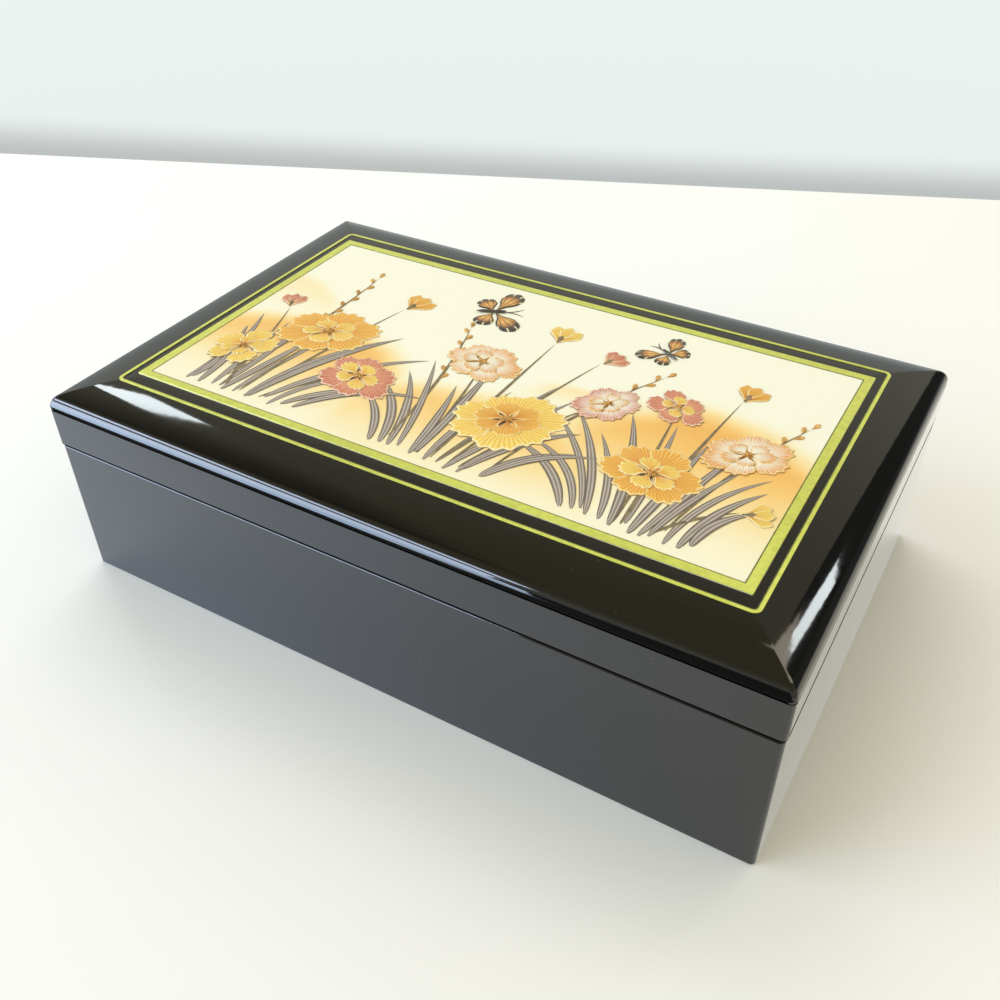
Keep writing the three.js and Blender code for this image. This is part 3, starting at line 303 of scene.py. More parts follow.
def plain_print(name, dark, light, size_mm, **plain):
    """Ink on a small embossed form, with a soft mottle from dark to light at the given size."""
    finish, add, surface, place = new_finish(name, **{"Roughness": 0.38, "Coat_Weight": 0.3, **plain})
    mottle = add("TexNoise", place, 1000 / size_mm, Detail=3.0)
    colour = add("ValToRGB", mottle, ramp=[(0.35, dark), (0.65, light)])
    bump = add("Bump", Strength=0.4, Distance=0.00004, Height=mottle)
    fill(surface, Base_Color=colour, Normal=bump)
    return finish


def wing_print():
    """Butterfly wing in relief: amber between dark veins that run from the root, with a dusky border and pale spots."""
    finish, add, surface, place = new_finish("butterfly_wing_print", Roughness=0.36, Coat_Weight=0.3,
                                             Coat_Roughness=0.15)
    spot = add("Attribute", attribute_name="petal").outputs["Vector"]
    parts = add("SeparateXYZ", spot)
    base = add("ValToRGB", parts.outputs["X"], ramp=[
        (0.0, "#6b4a2c"), (0.2, "#c98a3c"), (0.55, "#e9b25c"), (0.74, "#b97a38"), (0.84, "#4b4238")])
    fan = add("Math:MULTIPLY", parts.outputs["Y"], 11.0)
    wave = add("Math:COSINE", fan)
    line = add("MapRange", wave, 0.72, 0.93, 0.0, 0.9)
    inked = add("Mix", line, base, "#3f372e")
    edge = add("MapRange", parts.outputs["Z"], 0.62, 0.8)
    rimmed = add("Mix", edge, inked, "#423a31")
    pale = add("MapRange", wave, -0.8, -0.95)
    belt = add("MapRange", parts.outputs["X"], 0.84, 0.88)
    dots = add("Math:MULTIPLY", pale, belt)
    colour = add("Mix", dots, rimmed, "#efe3c4")
    bump = add("Bump", Strength=0.6, Distance=0.0001, Height=line, invert=True)
    fill(surface, Base_Color=colour, Normal=bump)
    return finish


def velvet(name, deep, painted_sheen_tone, nap_mm=9.0):
    """Cotton velvet: deep crimson, brushed one way and another in soft patches whose lighter tone is painted sheen,
    with a pale sheen where the pile turns away."""
    finish, add, surface, place = new_finish(
        name, Roughness=0.95, Sheen_Weight=0.75, Sheen_Roughness=0.35, Sheen_Tint="#e08a86", Specular_IOR_Level=0.15)
    nap = add("TexNoise", place, 1000 / nap_mm, Detail=1.5, Distortion=0.6)
    pile = add("TexNoise", place, 1000 / 0.35, Detail=2.0)
    both = add("Mix", 0.45, nap, pile, data_type="FLOAT")
    # Painted sheen: the patches of brushed pile run from the deep tone to a lighter one.
    colour = add("ValToRGB", both, ramp=[(0.36, deep), (0.62, painted_sheen_tone)])
    fill(surface, Base_Color=colour)
    # The pile is drawn a little coarser than real so that it shows.
    bump = add("Bump", Strength=0.6, Distance=0.00012, Height=pile)
    fill(surface, Normal=bump)
    return finish


def silvered_glass():
    """Float glass silvered on its back: a clear cool mirror, with faint wiping marks."""
    finish, add, surface, place = new_finish("silvered_float_glass", Metallic=1.0)
    wipe = add("Mapping", place, Scale=(30.0, 220.0, 30.0), Rotation=(0, 0, 0.5))
    smear = add("TexNoise", wipe, 1.0, Detail=4.0)
    rough = add("MapRange", smear, 0.4, 0.8, 0.008, 0.05)
    fill(surface, Roughness=rough)
    colour = add("Mix", smear, "#eef2f2", "#e2e8e8")
    fill(surface, Base_Color=colour)
    return finish


def clear_acrylic():
    """Cast acrylic sheet, laser cut: colourless and glossy, with hairline scratches from dusting."""
    finish, add, surface, place = new_finish(
        "clear_cast_acrylic", Transmission_Weight=1.0, IOR=1.49, Alpha=0.22)
    stretch = add("Mapping", place, Scale=(60.0, 1800.0, 60.0), Rotation=(0, 0, 0.7))
    scratch = add("TexNoise", stretch, 1.0, Detail=3.0)
    rough = add("MapRange", scratch, 0.66, 0.74, 0.004, 0.06)
    fill(surface, Roughness=rough)
    colour = add("Mix", scratch, "#f4f8f8", "#eaf1f1")
    fill(surface, Base_Color=colour)
    return finish


def metal(name, dark, light, rough_lo, rough_hi, grain=(1.0, 1.0, 1.0), grain_mm=0.4, patch_mm=7.0, dent=0.000006):
    """A bare or plated metal: its tone drifts in patches from dark to light, and its grain is stretched the way it
    was worked."""
    finish, add, surface, place = new_finish(name, Metallic=1.0)
    lay = add("Mapping", place, Scale=grain)
    lines = add("TexNoise", lay, 1000 / grain_mm, Detail=3.0)
    patch = add("TexNoise", place, 1000 / patch_mm, Detail=2.0)
    both = add("Math:MULTIPLY", lines, patch)
    colour = add("ValToRGB", both, ramp=[(0.08, dark), (0.34, light)])
    fill(surface, Base_Color=colour)
    rough = add("MapRange", both, 0.1, 0.45, rough_hi, rough_lo)
    fill(surface, Roughness=rough)
    bump = add("Bump", Strength=1.0, Distance=dent, Height=lines)
    fill(surface, Normal=bump)
    return finish


def moulded_nylon():
    """Moulded nylon: milky white, slightly waxy, with a fine spark-eroded texture from its mould."""
    finish, add, surface, place = new_finish("moulded_milky_nylon", Roughness=0.45, IOR=1.53, Subsurface_Weight=0.2,
                                             Subsurface_Scale=0.001)
    spark = add("TexNoise", place, 1000 / 0.3, Detail=2.0)
    colour = add("Mix", spark, "#dcd7c9", "#efebdf")
    bump = add("Bump", Strength=0.4, Distance=0.00002, Height=spark)
    fill(surface, Base_Color=colour, Normal=bump)
    return finish


def hardboard():
    """Tempered hardboard stained black on its smooth side: pressed brown fibres show through the stain."""
    finish, add, surface, place = new_finish("stained_hardboard", Roughness=0.72, Specular_IOR_Level=0.3)
    stretch = add("Mapping", place, Scale=(0.35, 1.0, 1.0), Rotation=(0, 0, 0.3))
    fibre = add("TexNoise", stretch, 1000 / 0.9, Detail=5.0, Roughness=0.7)
    cloud = add("TexNoise", place, 1000 / 22, Detail=2.0)
    both = add("Math:MULTIPLY", fibre, cloud)
    colour = add("ValToRGB", both, ramp=[(0.15, "#1a1715"), (0.3, "#2b2521"), (0.42, "#4b3d31")])
    bump = add("Bump", Strength=0.5, Distance=0.00006, Height=fibre)
    fill(surface, Base_Color=colour, Normal=bump)
    return finish


def painted_table():
    """White painted table top: nearly plain, with a faint cool and warm drift and the finest roller texture.
    It glows for polished things, a painted reflection brighter than it looks, bluish in front and warm at the right,
    and glows faintly to the camera in the same tints, painted light on the table."""
    finish, add, surface, place = new_finish("white_painted_table", Roughness=0.5, Specular_IOR_Level=0.3)
    drift = add("TexNoise", place, 2.2, Detail=2.0)
    colour = add("Mix", drift, "#f1f3f6", "#f7f5f1")
    fill(surface, Base_Color=colour)
    roller = add("TexNoise", place, 1000 / 1.5, Detail=2.0)
    bump = add("Bump", Strength=0.1, Distance=0.00004, Height=roller)
    fill(surface, Normal=bump)
    side = add("SeparateXYZ", place)
    right = add("MapRange", side.outputs["X"], -0.05, 0.2)
    # Painted light: the table glows, brightly for reflections and faintly to the camera, bluish at the left and warm at
    # the right.
    painted_reflection_tint = add("Mix", right, "#a4b6d2", "#8a7f66")
    fill(surface, Emission_Color=painted_reflection_tint)
    path = add("LightPath")
    painted_glow_strength = add("Math:MULTIPLY_ADD", path.outputs["Is Camera Ray"], 0.12, path.outputs["Is Glossy Ray"])
    fill(surface, Emission_Strength=painted_glow_strength)
    return finish


def painted_dark_reflection_card():
    """Matt black card that only reflections show, a painted dark reflection: its grey glows from the card itself,
    painted light, with a trace of paper grain.
    """
    finish, add, surface, place = new_finish("matt_dark_reflection_card", Roughness=0.9, Specular_IOR_Level=0.1,
                                             Emission_Strength=1.0, Base_Color="#101010")
    grain = add("TexNoise", place, 1000 / 60, Detail=3.0)
    # Painted light: the grey is the card's own glow, not light that falls on it.
    colour = add("Mix", grain, "#4a4844", "#5a5850")
    fill(surface, Emission_Color=colour)
    return finish


def painted_window_glow():
    """Glowing panes that are no lamp, painted reflections of daylight in a window: bluish white, and dimmer low down,
    where a pane lying on the floor paints the daylight there.
    """
    finish, add, surface, place = new_finish("painted_daylight_reflection", Emission_Strength=12.0, Base_Color="#101010")
    # Painted light: the glow is dimmer near the table top and brighter above.
    height = add("SeparateXYZ", place)
    colour = add("ValToRGB", height.outputs["Z"], ramp=[(0.0, "#9db2cb"), (0.03, "#cfe1fb"), (0.8, "#d6e6ff")])
    fill(surface, Emission_Color=colour)
    return finish


LACQUER = black_lacquer()
DARK_REFLECTION_CARD = painted_dark_reflection_card()
WINDOW_REFLECTION_GLOW = painted_window_glow()
INK = gold_ink()
FOIL = printed_foil()
BLADE = blade_print()
STALK = plain_print("grass_stalk_print", "#6a5d45", "#8d7c58", 2.0)
SEED = plain_print("grass_seed_print", "#b27f35", "#e0b05a", 1.5)
HEART = plain_print("flower_heart_print", "#a8681f", "#efc068", 0.8)
INSECT = plain_print("insect_body_print", "#3b332a", "#5c5042", 1.0)
OLIVE = plain_print("dark_olive_ink", "#55581f", "#74772e", 1.5)
# Painted shade: black that reflects nothing, for the groove under the roll, the lid's lower rim and a strip of its
# right wall, so that groove and seam read dark.
PAINTED_SEAM_SHADE = plain_print("painted_seam_shade_black", "#050505", "#090909", 3.0, Specular_IOR_Level=0.0, Roughness=1.0,
                    Coat_Weight=0.0)
WING = wing_print()
PETALS = {
    "amber": petal_print("amber_petal_print", "#cf7a1a", "#e9a02c", "#efb03a", "#f9d678", "#fae6a2"),
    "yellow": petal_print("yellow_petal_print", "#e9a02e", "#f5c448", "#f8d25a", "#fdeca0", "#fdf2c0"),
    "rose": petal_print("dusty_rose_petal_print", "#f3c286", "#dd8a68", "#ca6f52", "#f6caa8", "#f6d8bc"),
    "white": petal_print("white_petal_with_amber_tips", "#fcf8ec", "#faefd8", "#e9a03a", "#fefbf4", "#f9dc96"),
    "blush": petal_print("white_petal_with_rose_tips", "#fcf8ee", "#f7e4d4", "#cf7a5c", "#fefbf6", "#f5d2ba"),
}
VELVET = velvet("crimson_cotton_velvet", "#560b15", "#7a1620", nap_mm=14.0)
ROLL_VELVET = velvet("crimson_velvet_on_foam", "#5b0c17", "#821824", nap_mm=9.0)
MIRROR = silvered_glass()
ACRYLIC = clear_acrylic()
HINGE_BRASS = metal("brass_plated_steel", "#c79c50", "#e8c67c", 0.24, 0.36, grain=(0.08, 1.0, 1.0), dent=0.000002)
WORKS_BRASS = metal("turned_brass", "#b48a3a", "#e6c274", 0.22, 0.38, grain_mm=0.25)
KEY_BRASS = metal("tumbled_brass_plate", "#b8893c", "#e8c276", 0.16, 0.3, grain_mm=0.8, dent=0.00001)
STEEL = metal("polished_steel", "#8f9498", "#c9cdd0", 0.16, 0.3, grain_mm=0.3)
COMB_STEEL = metal("ground_spring_steel", "#8a9096", "#d2d6d8", 0.2, 0.36, grain=(1.0, 0.06, 1.0), grain_mm=0.2)
ZINC = metal("die_cast_zinc", "#7d8083", "#a9acae", 0.42, 0.6, grain_mm=0.6, dent=0.00003)
NYLON = moulded_nylon()
BOARD = hardboard()
TABLE = painted_table()


# Mesh helpers, all in millimetres
def rounded(x0, x1, y0, y1, r, z, steps=6):
    """A rounded rectangle at height z, anticlockwise from above."""
    points = []
    for cx, cy, start in ((x1 - r, y0 + r, -90), (x1 - r, y1 - r, 0), (x0 + r, y1 - r, 90), (x0 + r, y0 + r, 180)):
        for i in range(steps + 1):
            a = radians(start + 90 * i / steps)
            points.append(Vector((cx + r * cos(a), cy + r * sin(a), z)))
    return points


def loft(rings, closed=False):
    """A closed skin through rings of equal counts, each anticlockwise seen from the next."""
    bm = bmesh.new()
    rows = [[bm.verts.new(p) for p in ring] for ring in rings]
    n = len(rows[0])
    pairs = list(zip(rows, rows[1:])) + ([(rows[-1], rows[0])] if closed else [])
    for low, high in pairs:
        for i in range(n):
            bm.faces.new((low[i], low[(i + 1) % n], high[(i + 1) % n], high[i]))
    if not closed:
        bm.faces.new(list(reversed(rows[0])))
        bm.faces.new(rows[-1])
    return bm


def box(x0, x1, y0, y1, z0, z1):
    """A block between two corners."""
    return loft([[Vector((x, y, z)) for x, y in ((x0, y0), (x1, y0), (x1, y1), (x0, y1))] for z in (z0, z1)])


def prism_x(outline, x0, x1):
    """A bar along x. Its outline is a list of (y, z), anticlockwise seen from +x."""
    return loft([[Vector((x, y, z)) for y, z in outline] for x in (x0, x1)])


def joined(*meshes):
    """Several drawn meshes as one."""
    whole = bmesh.new()
    for bm in meshes:
        part = bpy.data.meshes.new("part")
        bm.to_mesh(part)
        bm.free()
        whole.from_mesh(part)
        bpy.data.meshes.remove(part)
    return whole


def as_object(name, bm, finish=None, smooth_deg=None):
    """Makes an object in metres from a mesh drawn in millimetres."""
    bmesh.ops.scale(bm, vec=(MM, MM, MM), verts=bm.verts)
    mesh = bpy.data.meshes.new(name)
    bm.to_mesh(mesh)
    bm.free()
    if finish:
        mesh.materials.append(finish)
    if smooth_deg is not None:
        smoothed(mesh, smooth_deg)
    obj = in_scene(name, mesh)
    return obj


def smoothed(mesh, sharp_deg):
    """Smooth shading up to edges of the given angle."""
    mesh.shade_smooth()
    mesh.set_sharp_from_angle(angle=radians(sharp_deg))


def made_plain(obj):
    """Replaces an object's mesh by its evaluated one and drops its modifiers."""
    bpy.context.view_layer.update()
    done = obj.evaluated_get(bpy.context.evaluated_depsgraph_get())
    mesh = bpy.data.meshes.new_from_object(done, preserve_all_data_layers=True,
                                           depsgraph=bpy.context.evaluated_depsgraph_get())
    obj.modifiers.clear()
    obj.data = mesh
    return obj


def carved(obj, cutters):
    """Cuts each drawn mesh out of the object."""
    for bm in cutters:
        tool = as_object("cutter", bm)
        cut = obj.modifiers.new("cut", "BOOLEAN")
        cut.object, cut.operation, cut.solver = tool, "DIFFERENCE", "EXACT"
        made_plain(obj)
        bpy.data.objects.remove(tool)
    return obj


def even_light(obj, smooth_deg):
    """Smooth shading that keeps flat faces flat beside rounded edges."""
    smoothed(obj.data, smooth_deg)
    weighted = obj.modifiers.new("even_light", "WEIGHTED_NORMAL")
    weighted.keep_sharp = True
    return made_plain(obj)


def seat(obj, body, slot, *nodes):
    """The piece rides on a body and stands for its solids. Its slot is not used."""
    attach(obj, body)
    if nodes:
        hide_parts(*nodes)
    return obj


SLOTS = {part["node"]: part["material_slot"] for part in frame["record"]["subparts"]}


def stand_for(obj, *nodes):
    """The piece takes its body from its solids, and stands for them."""
    return seat(obj, frame["nodes"][nodes[0]]["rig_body"], SLOTS[nodes[0]], *nodes)


def refined(node, finish, edge=0.12, smooth_deg=32):
    """A merged copy of a solid with softened edges, which stands for the solid."""
    bm = bmesh.new()
    bm.from_mesh(frame["nodes"][node].data)
    bmesh.ops.remove_doubles(bm, verts=bm.verts, dist=2e-6)
    bmesh.ops.dissolve_limit(bm, angle_limit=radians(1.5), verts=bm.verts, edges=bm.edges)
    sharp = [e for e in bm.edges if len(e.link_faces) == 2 and e.calc_face_angle(0) > radians(smooth_deg)]
    if edge:
        bmesh.ops.bevel(bm, geom=sharp, offset=edge * MM, segments=2, affect="EDGES", clamp_overlap=True, profile=0.6)
        bmesh.ops.dissolve_degenerate(bm, dist=2e-6, edges=bm.edges)
    mesh = bpy.data.meshes.new(node + "_shown")
    bm.to_mesh(mesh)
    bm.free()
    mesh.materials.append(finish)
    obj = in_scene(node + "_shown", mesh)
    even_light(obj, 40)
    return stand_for(obj, node)


# Geometry trees
def new_tree(name, inputs):
    """A geometry tree with named inputs, as (name, socket kind, value). Returns it, what adds its nodes, and its
    inputs."""
    tree = bpy.data.node_groups.new(name, "GeometryNodeTree")
    tree.interface.new_socket(name="Geometry", in_out="INPUT", socket_type="NodeSocketGeometry")
    tree.interface.new_socket(name="Geometry", in_out="OUTPUT", socket_type="NodeSocketGeometry")
    for label, kind, value in inputs:
        socket = tree.interface.new_socket(name=label, in_out="INPUT", socket_type="NodeSocket" + kind)
        if value is not None:
            socket.default_value = value
    return tree, functools.partial(add_node, tree), tree.nodes.new("NodeGroupInput").outputs


def close_tree(add, start, geometry):
    """Ends a tree in Realize Instances and Set Material."""
    real = add("GeometryNodeRealizeInstances", geometry)
    add("NodeGroupOutput", add("GeometryNodeSetMaterial", Geometry=real, Material=start["Finish"]))


def grown(name, tree, carrier=None, **values):
    """Runs a geometry tree on a carrier mesh and returns the plain mesh that it makes."""
    holder = in_scene(name, carrier or bpy.data.meshes.new(name))
    grow = holder.modifiers.new("grow", "NODES")
    grow.node_group = tree
    sockets = {item.name: item.identifier for item in tree.interface.items_tree if item.in_out == "INPUT"}
    for label, value in values.items():
        grow[sockets[label.replace("_", " ")]] = value
    made_plain(holder)
    mesh = holder.data
    bpy.data.objects.remove(holder)
    return mesh


def petal_ring_tree():
    """A ring of petals: one petal repeated round a heart, each a little turned, grown or shrunk, every second one
    lifted."""
    tree, add, start = new_tree("petal_ring", [
        ("Petal", "Object", None), ("Petals", "Int", 8), ("Heart radius", "Float", 0.0015), ("Size", "Float", 1.0),
        ("Size spread", "Float", 0.06), ("Turn spread", "Float", 0.06), ("Lift", "Float", 0.00012),
        ("Seed", "Int", 1), ("Finish", "Material", None)])
    ring = add("GeometryNodeMeshCircle", Vertices=start["Petals"], Radius=start["Heart radius"])
    index = add("GeometryNodeInputIndex")
    odd = add("Math:MODULO", index, 2.0)
    rise = add("Math:MULTIPLY", odd, start["Lift"])
    up = add("CombineXYZ", Z=rise)
    raised = add("GeometryNodeSetPosition", Geometry=ring, Offset=up)
    step = add("Math:DIVIDE", 2 * pi, start["Petals"])
    angle = add("Math:MULTIPLY", index, step)
    less = add("Math:SUBTRACT", 0.0, start["Turn spread"])
    sway = add("FunctionNodeRandomValue", less, start["Turn spread"], ID=index, Seed=start["Seed"], data_type="FLOAT")
    turn = add("Math:ADD", angle, sway)
    euler = add("CombineXYZ", Z=turn)
    rotation = add("FunctionNodeEulerToRotation", Euler=euler)
    small = add("Math:SUBTRACT", 1.0, start["Size spread"])
    large = add("Math:ADD", 1.0, start["Size spread"])
    grow = add("FunctionNodeRandomValue", small, large, ID=index, Seed=start["Seed"], data_type="FLOAT")
    size = add("Math:MULTIPLY", grow, start["Size"])
    flat = add("CombineXYZ", X=size, Y=size, Z=1.0)
    petal = add("GeometryNodeObjectInfo", Object=start["Petal"])
    set_round = add("GeometryNodeInstanceOnPoints", Points=raised, Instance=petal.outputs["Geometry"],
                    Rotation=rotation, Scale=flat)
    shade = add("FunctionNodeRandomValue", 0.0, 1.0, ID=index, Seed=start["Seed"], data_type="FLOAT")
    toned = add("GeometryNodeStoreNamedAttribute", Geometry=set_round, Name="tone", Value=shade, data_type="FLOAT",
                domain="INSTANCE")
    close_tree(add, start, toned)
    return tree


def seed_heart_tree():
    """The heart of a flower: small beads set out in the spiral that seeds follow."""
    tree, add, start = new_tree("seed_heart", [
        ("Beads", "Int", 24), ("Spread", "Float", 0.0005), ("Bead", "Float", 0.0004), ("Crown", "Float", 0.0004),
        ("Finish", "Material", None)])
    points = add("GeometryNodePoints", Count=start["Beads"])
    index = add("GeometryNodeInputIndex")
    root = add("Math:SQRT", index)
    out = add("Math:MULTIPLY", root, start["Spread"])
    turn = add("Math:MULTIPLY", index, 2.39996)
    cosine = add("Math:COSINE", turn)
    sine = add("Math:SINE", turn)
    x = add("Math:MULTIPLY", out, cosine)
    y = add("Math:MULTIPLY", out, sine)
    share = add("Math:DIVIDE", index, start["Beads"])
    low = add("Math:SUBTRACT", 1.0, share)
    z = add("Math:MULTIPLY", low, start["Crown"])
    spot = add("CombineXYZ", X=x, Y=y, Z=z)
    placed = add("GeometryNodeSetPosition", Geometry=points, Position=spot)
    bead = add("GeometryNodeMeshIcoSphere", Radius=start["Bead"], Subdivisions=2)
    beads = add("GeometryNodeInstanceOnPoints", Points=placed, Instance=bead)
    close_tree(add, start, beads)
    return tree


def blade_tree():
    """Blades that follow drawn lines: each swells from its root, then tapers to a point, with a ridged section."""
    tree, add, start = new_tree("blades_along_lines", [
        ("Lines", "Object", None), ("Section", "Object", None), ("Half width", "Float", 0.001), ("Points", "Int", 24),
        ("Finish", "Material", None)])
    lines = add("GeometryNodeObjectInfo", Object=start["Lines"])
    section = add("GeometryNodeObjectInfo", Object=start["Section"])
    even = add("GeometryNodeResampleCurve", Curve=lines.outputs["Geometry"], Count=start["Points"])
    factor = add("GeometryNodeSplineParameter")
    marked = add("GeometryNodeStoreNamedAttribute", Geometry=even, Name="along", Value=factor, data_type="FLOAT",
                 domain="POINT")
    swell = add("FloatCurve", Value=factor)
    curve = swell.mapping.curves[0]
    curve.points[0].location, curve.points[1].location = (0.0, 0.26), (1.0, 0.02)
    for place in ((0.1, 0.72), (0.38, 1.0), (0.75, 0.62)):
        curve.points.new(*place)
    swell.mapping.update()
    width = add("GeometryNodeInputRadius")
    half = add("Math:MULTIPLY", swell, width)
    scale = add("Math:MULTIPLY", half, start["Half width"])
    upright = add("GeometryNodeSetCurveNormal", Curve=marked, mode="Z_UP")
    place_x = add("SeparateXYZ", add("GeometryNodeInputPosition"))
    sided = add("GeometryNodeStoreNamedAttribute", Geometry=section.outputs["Geometry"], Name="across",
                Value=place_x.outputs["X"], data_type="FLOAT", domain="POINT")
    skin = add("GeometryNodeCurveToMesh", Curve=upright, Profile_Curve=sided, Scale=scale, Fill_Caps=True)
    close_tree(add, start, add("GeometryNodeFlipFaces", Mesh=skin))
    return tree


def stud_tree():
    """Small tapered studs that stand on the carrier's points along their normals."""
    tree, add, start = new_tree("studs_on_points", [
        ("Height", "Float", 0.0008), ("Foot radius", "Float", 0.0002), ("Tip radius", "Float", 0.00014),
        ("Sides", "Int", 8), ("Finish", "Material", None)])
    stud = add("GeometryNodeMeshCone", Vertices=start["Sides"], Radius_Top=start["Tip radius"],
               Radius_Bottom=start["Foot radius"], Depth=start["Height"])
    facing = add("GeometryNodeInputNamedAttribute", Name="facing", data_type="FLOAT_VECTOR")
    turned = add("FunctionNodeAlignRotationToVector", Vector=facing, axis="Z")
    studs = add("GeometryNodeInstanceOnPoints", Points=start["Geometry"], Instance=stud, Rotation=turned)
    close_tree(add, start, studs)
    return tree


# Lid and base
def edge_rings(inset, z_low, z_high, r, steps=5):
    """Rings of a wall whose lower and upper rims are rounded by r."""
    rings = []
    for i in range(steps + 1):
        a = radians(90 * i / steps)
        rings.append((inset + r - r * sin(a), z_low + r - r * cos(a)))
    for i in range(steps + 1):
        a = radians(90 * i / steps)
        rings.append((inset + r - r * cos(a), z_high - r + r * sin(a)))
    return rings


def crown_section(nose_steps=20, crown_steps=20):
    """Section of the rolled lid edge as (inset, height): a fine quirk, a tight bullnose, then a wide and shallow
    crown."""
    top_z = PANEL_HI.z - PANEL_STAND
    nose_z = PANEL_HI.z - ROLL_EDGE_H
    a, h = CROWN_RUN - BULLNOSE_R, top_z - nose_z
    big = (a * a + h * h - BULLNOSE_R ** 2) / (2 * (h - BULLNOSE_R))
    join = asin(a / (big - BULLNOSE_R))
    section = [(0, nose_z - QUIRK_LOW), (QUIRK_IN, nose_z - QUIRK_LOW + 0.1), (QUIRK_IN, nose_z - QUIRK_HIGH)]
    for i in range(nose_steps + 1):
        t = pi / 2 + (join - pi / 2) * i / nose_steps
        section.append((BULLNOSE_R - BULLNOSE_R * sin(t), nose_z + BULLNOSE_R * cos(t)))
    for i in range(1, crown_steps + 1):
        t = join * (1 - i / crown_steps)
        section.append((CROWN_RUN - big * sin(t), top_z - big * (1 - cos(t))))
    return section


def case_ring(inset, z):
    """A plan outline of the case at an inset. The corners tighten to a mitre over the roll."""
    r = max(0.3, CORNER_R - max(0.0, inset - 0.3) * 0.35)
    return rounded(LID_LO.x + inset, LID_HI.x - inset, LID_LO.y + inset, LID_HI.y - inset, r, z)


def stop_wedge(degrees, up):
    """The bevel along the back that lets the lid swing past upright and stop."""
    reach = LID_HI.y - PIVOT_Y + 2
    rise = reach * tan(radians(degrees))
    past = 0.3
    if up:
        outline = [(PIVOT_Y, SEAM_Z - past), (PIVOT_Y + reach, SEAM_Z - past), (PIVOT_Y + reach, SEAM_Z + rise),
                   (PIVOT_Y, SEAM_Z)]
    else:
        outline = [(PIVOT_Y, SEAM_Z + past), (PIVOT_Y, SEAM_Z), (PIVOT_Y + reach, SEAM_Z - rise),
                   (PIVOT_Y + reach, SEAM_Z + past)]
    return prism_x(outline, LID_LO.x - 1, LID_HI.x + 1)


def barrel_groove():
    """The round groove along the back in which the hinge's knuckles lie."""
    outline = [(PIVOT_Y + GROOVE_R * cos(2 * pi * i / 32), SEAM_Z + GROOVE_R * sin(2 * pi * i / 32)) for i in range(32)]
    return prism_x(outline, LID_LO.x - 1, LID_HI.x + 1)


def leaf_bed(z0, z1):
    """The recess for a hinge leaf."""
    return box(LEAF_LO.x - FIT_GAP, LEAF_HI.x + FIT_GAP, LEAF_LO.y - FIT_GAP, PIVOT_Y - 0.8, z0, z1)


def cavity(z0, z1, margin=0.0):
    """The hollow between the four walls, less a margin."""
    return box(-CAVITY_X + margin, CAVITY_X - margin, CAVITY_Y0 + margin, CAVITY_Y1 - margin, z0, z1)


def make_lid():
    """Lid with its rolled edge, the bed for the picture, and the hollow for the mirror."""
    section = edge_rings(0, LID_LO.z, LID_HI.z, LID_RIM_R)[:6] + [(0, LID_LO.z + SHADE_STRIP_H)] + crown_section()
    lid = as_object("lid", loft([case_ring(inset, z) for inset, z in section]), LACQUER)
    carved(lid, [
        cavity(LID_LO.z - 1, LID_CAVITY_Z),
        box(PANEL_LO.x - FIT_GAP, PANEL_HI.x + FIT_GAP, PANEL_LO.y - FIT_GAP, PANEL_HI.y + FIT_GAP, PANEL_LO.z - 0.1,
            PANEL_HI.z + 2),
        stop_wedge(LID_BEVEL_DEG, True),
        barrel_groove(),
        leaf_bed(LID_LO.z - 1, LID_LO.z + LEAF_T + 0.1),
    ])
    # The groove under the roll, the lid's lower rim and the right wall's lowest strip take the painted seam shade.
    lid.data.materials.append(PAINTED_SEAM_SHADE)
    nose_z = PANEL_HI.z - ROLL_EDGE_H
    for face in lid.data.polygons:
        x, y, z = face.center / MM
        out = max(abs(x) - LID_HI.x, abs(y) - LID_HI.y)
        quirk = nose_z - QUIRK_LOW - 0.01 < z < nose_z and -QUIRK_IN - 0.02 < out < -0.03
        rim = z < LID_LO.z + LID_RIM_R and -LID_RIM_R + 0.1 < out < -0.002
        # The right wall's lowest strip is painted shade, black that reflects nothing, and reads as a black line above
        # the base.
        seam_shade_strip = z < LID_LO.z + 0.7 * SHADE_STRIP_H and abs(out) < 0.002 and face.normal.x > 0.9
        if quirk or rim or seam_shade_strip:
            face.material_index = 1
    even_light(lid, 24)
    return seat(lid, "lid", "lacquered_wood", "lid_shell")


def make_base():
    """Base case: four mitred walls, a recessed foot and a ledge for the bottom board."""
    base = as_object("base", loft([case_ring(inset, z) for inset,
                                   z in edge_rings(BASE_INSET, 0, BASE_HI.z, BASE_RIM_R)]), LACQUER)
    carved(base, [
        cavity(BOARD_LO.z - 0.1, BASE_HI.z + 1),
        cavity(-1, BOARD_LO.z, BOARD_LEDGE),
        stop_wedge(BASE_BEVEL_DEG, False),
        barrel_groove(),
        leaf_bed(BASE_HI.z - LEAF_T - 0.1, BASE_HI.z + 1),
    ])
    even_light(base, 24)
    return seat(base, "base", "lacquered_wood", "base_case")


def flat_band(half_x, half_y, width, r, z0, z1, edge=0.08):
    """A flat closed band round a rectangle, its outer edge at the given half sizes, with slightly eased upper edges."""
    def ring(grow, z):
        rr = max(r + grow, 0.02)
        return rounded(-half_x - grow, half_x + grow, -half_y - grow, half_y + grow, rr, z)
    rings = [ring(0, z0), ring(0, z1 - edge), ring(-edge, z1), ring(-width + edge, z1), ring(-width, z1 - edge),
             ring(-width, z0)]
    return loft(rings, closed=True)


def make_gold_lines():
    """Thin gold line on the lacquer round the picture, with a darker hairline inside it."""
    top = PANEL_HI.z - PANEL_STAND
    x, y, inner = GOLD_LINE_X, GOLD_LINE_Y, GOLD_LINE_W - 0.02
    line = as_object("gold_line", flat_band(x, y, GOLD_LINE_W, 2.2, top - 0.1, top + 0.05, 0.03), INK, 30)
    hairline = flat_band(x - inner, y - inner, OLIVE_LINE_W, 1.25, top - 0.1, top + 0.035, 0.02)
    for line in (line, as_object("olive_line", hairline, OLIVE, 30)):
        seat(line, "lid", "lacquered_wood")


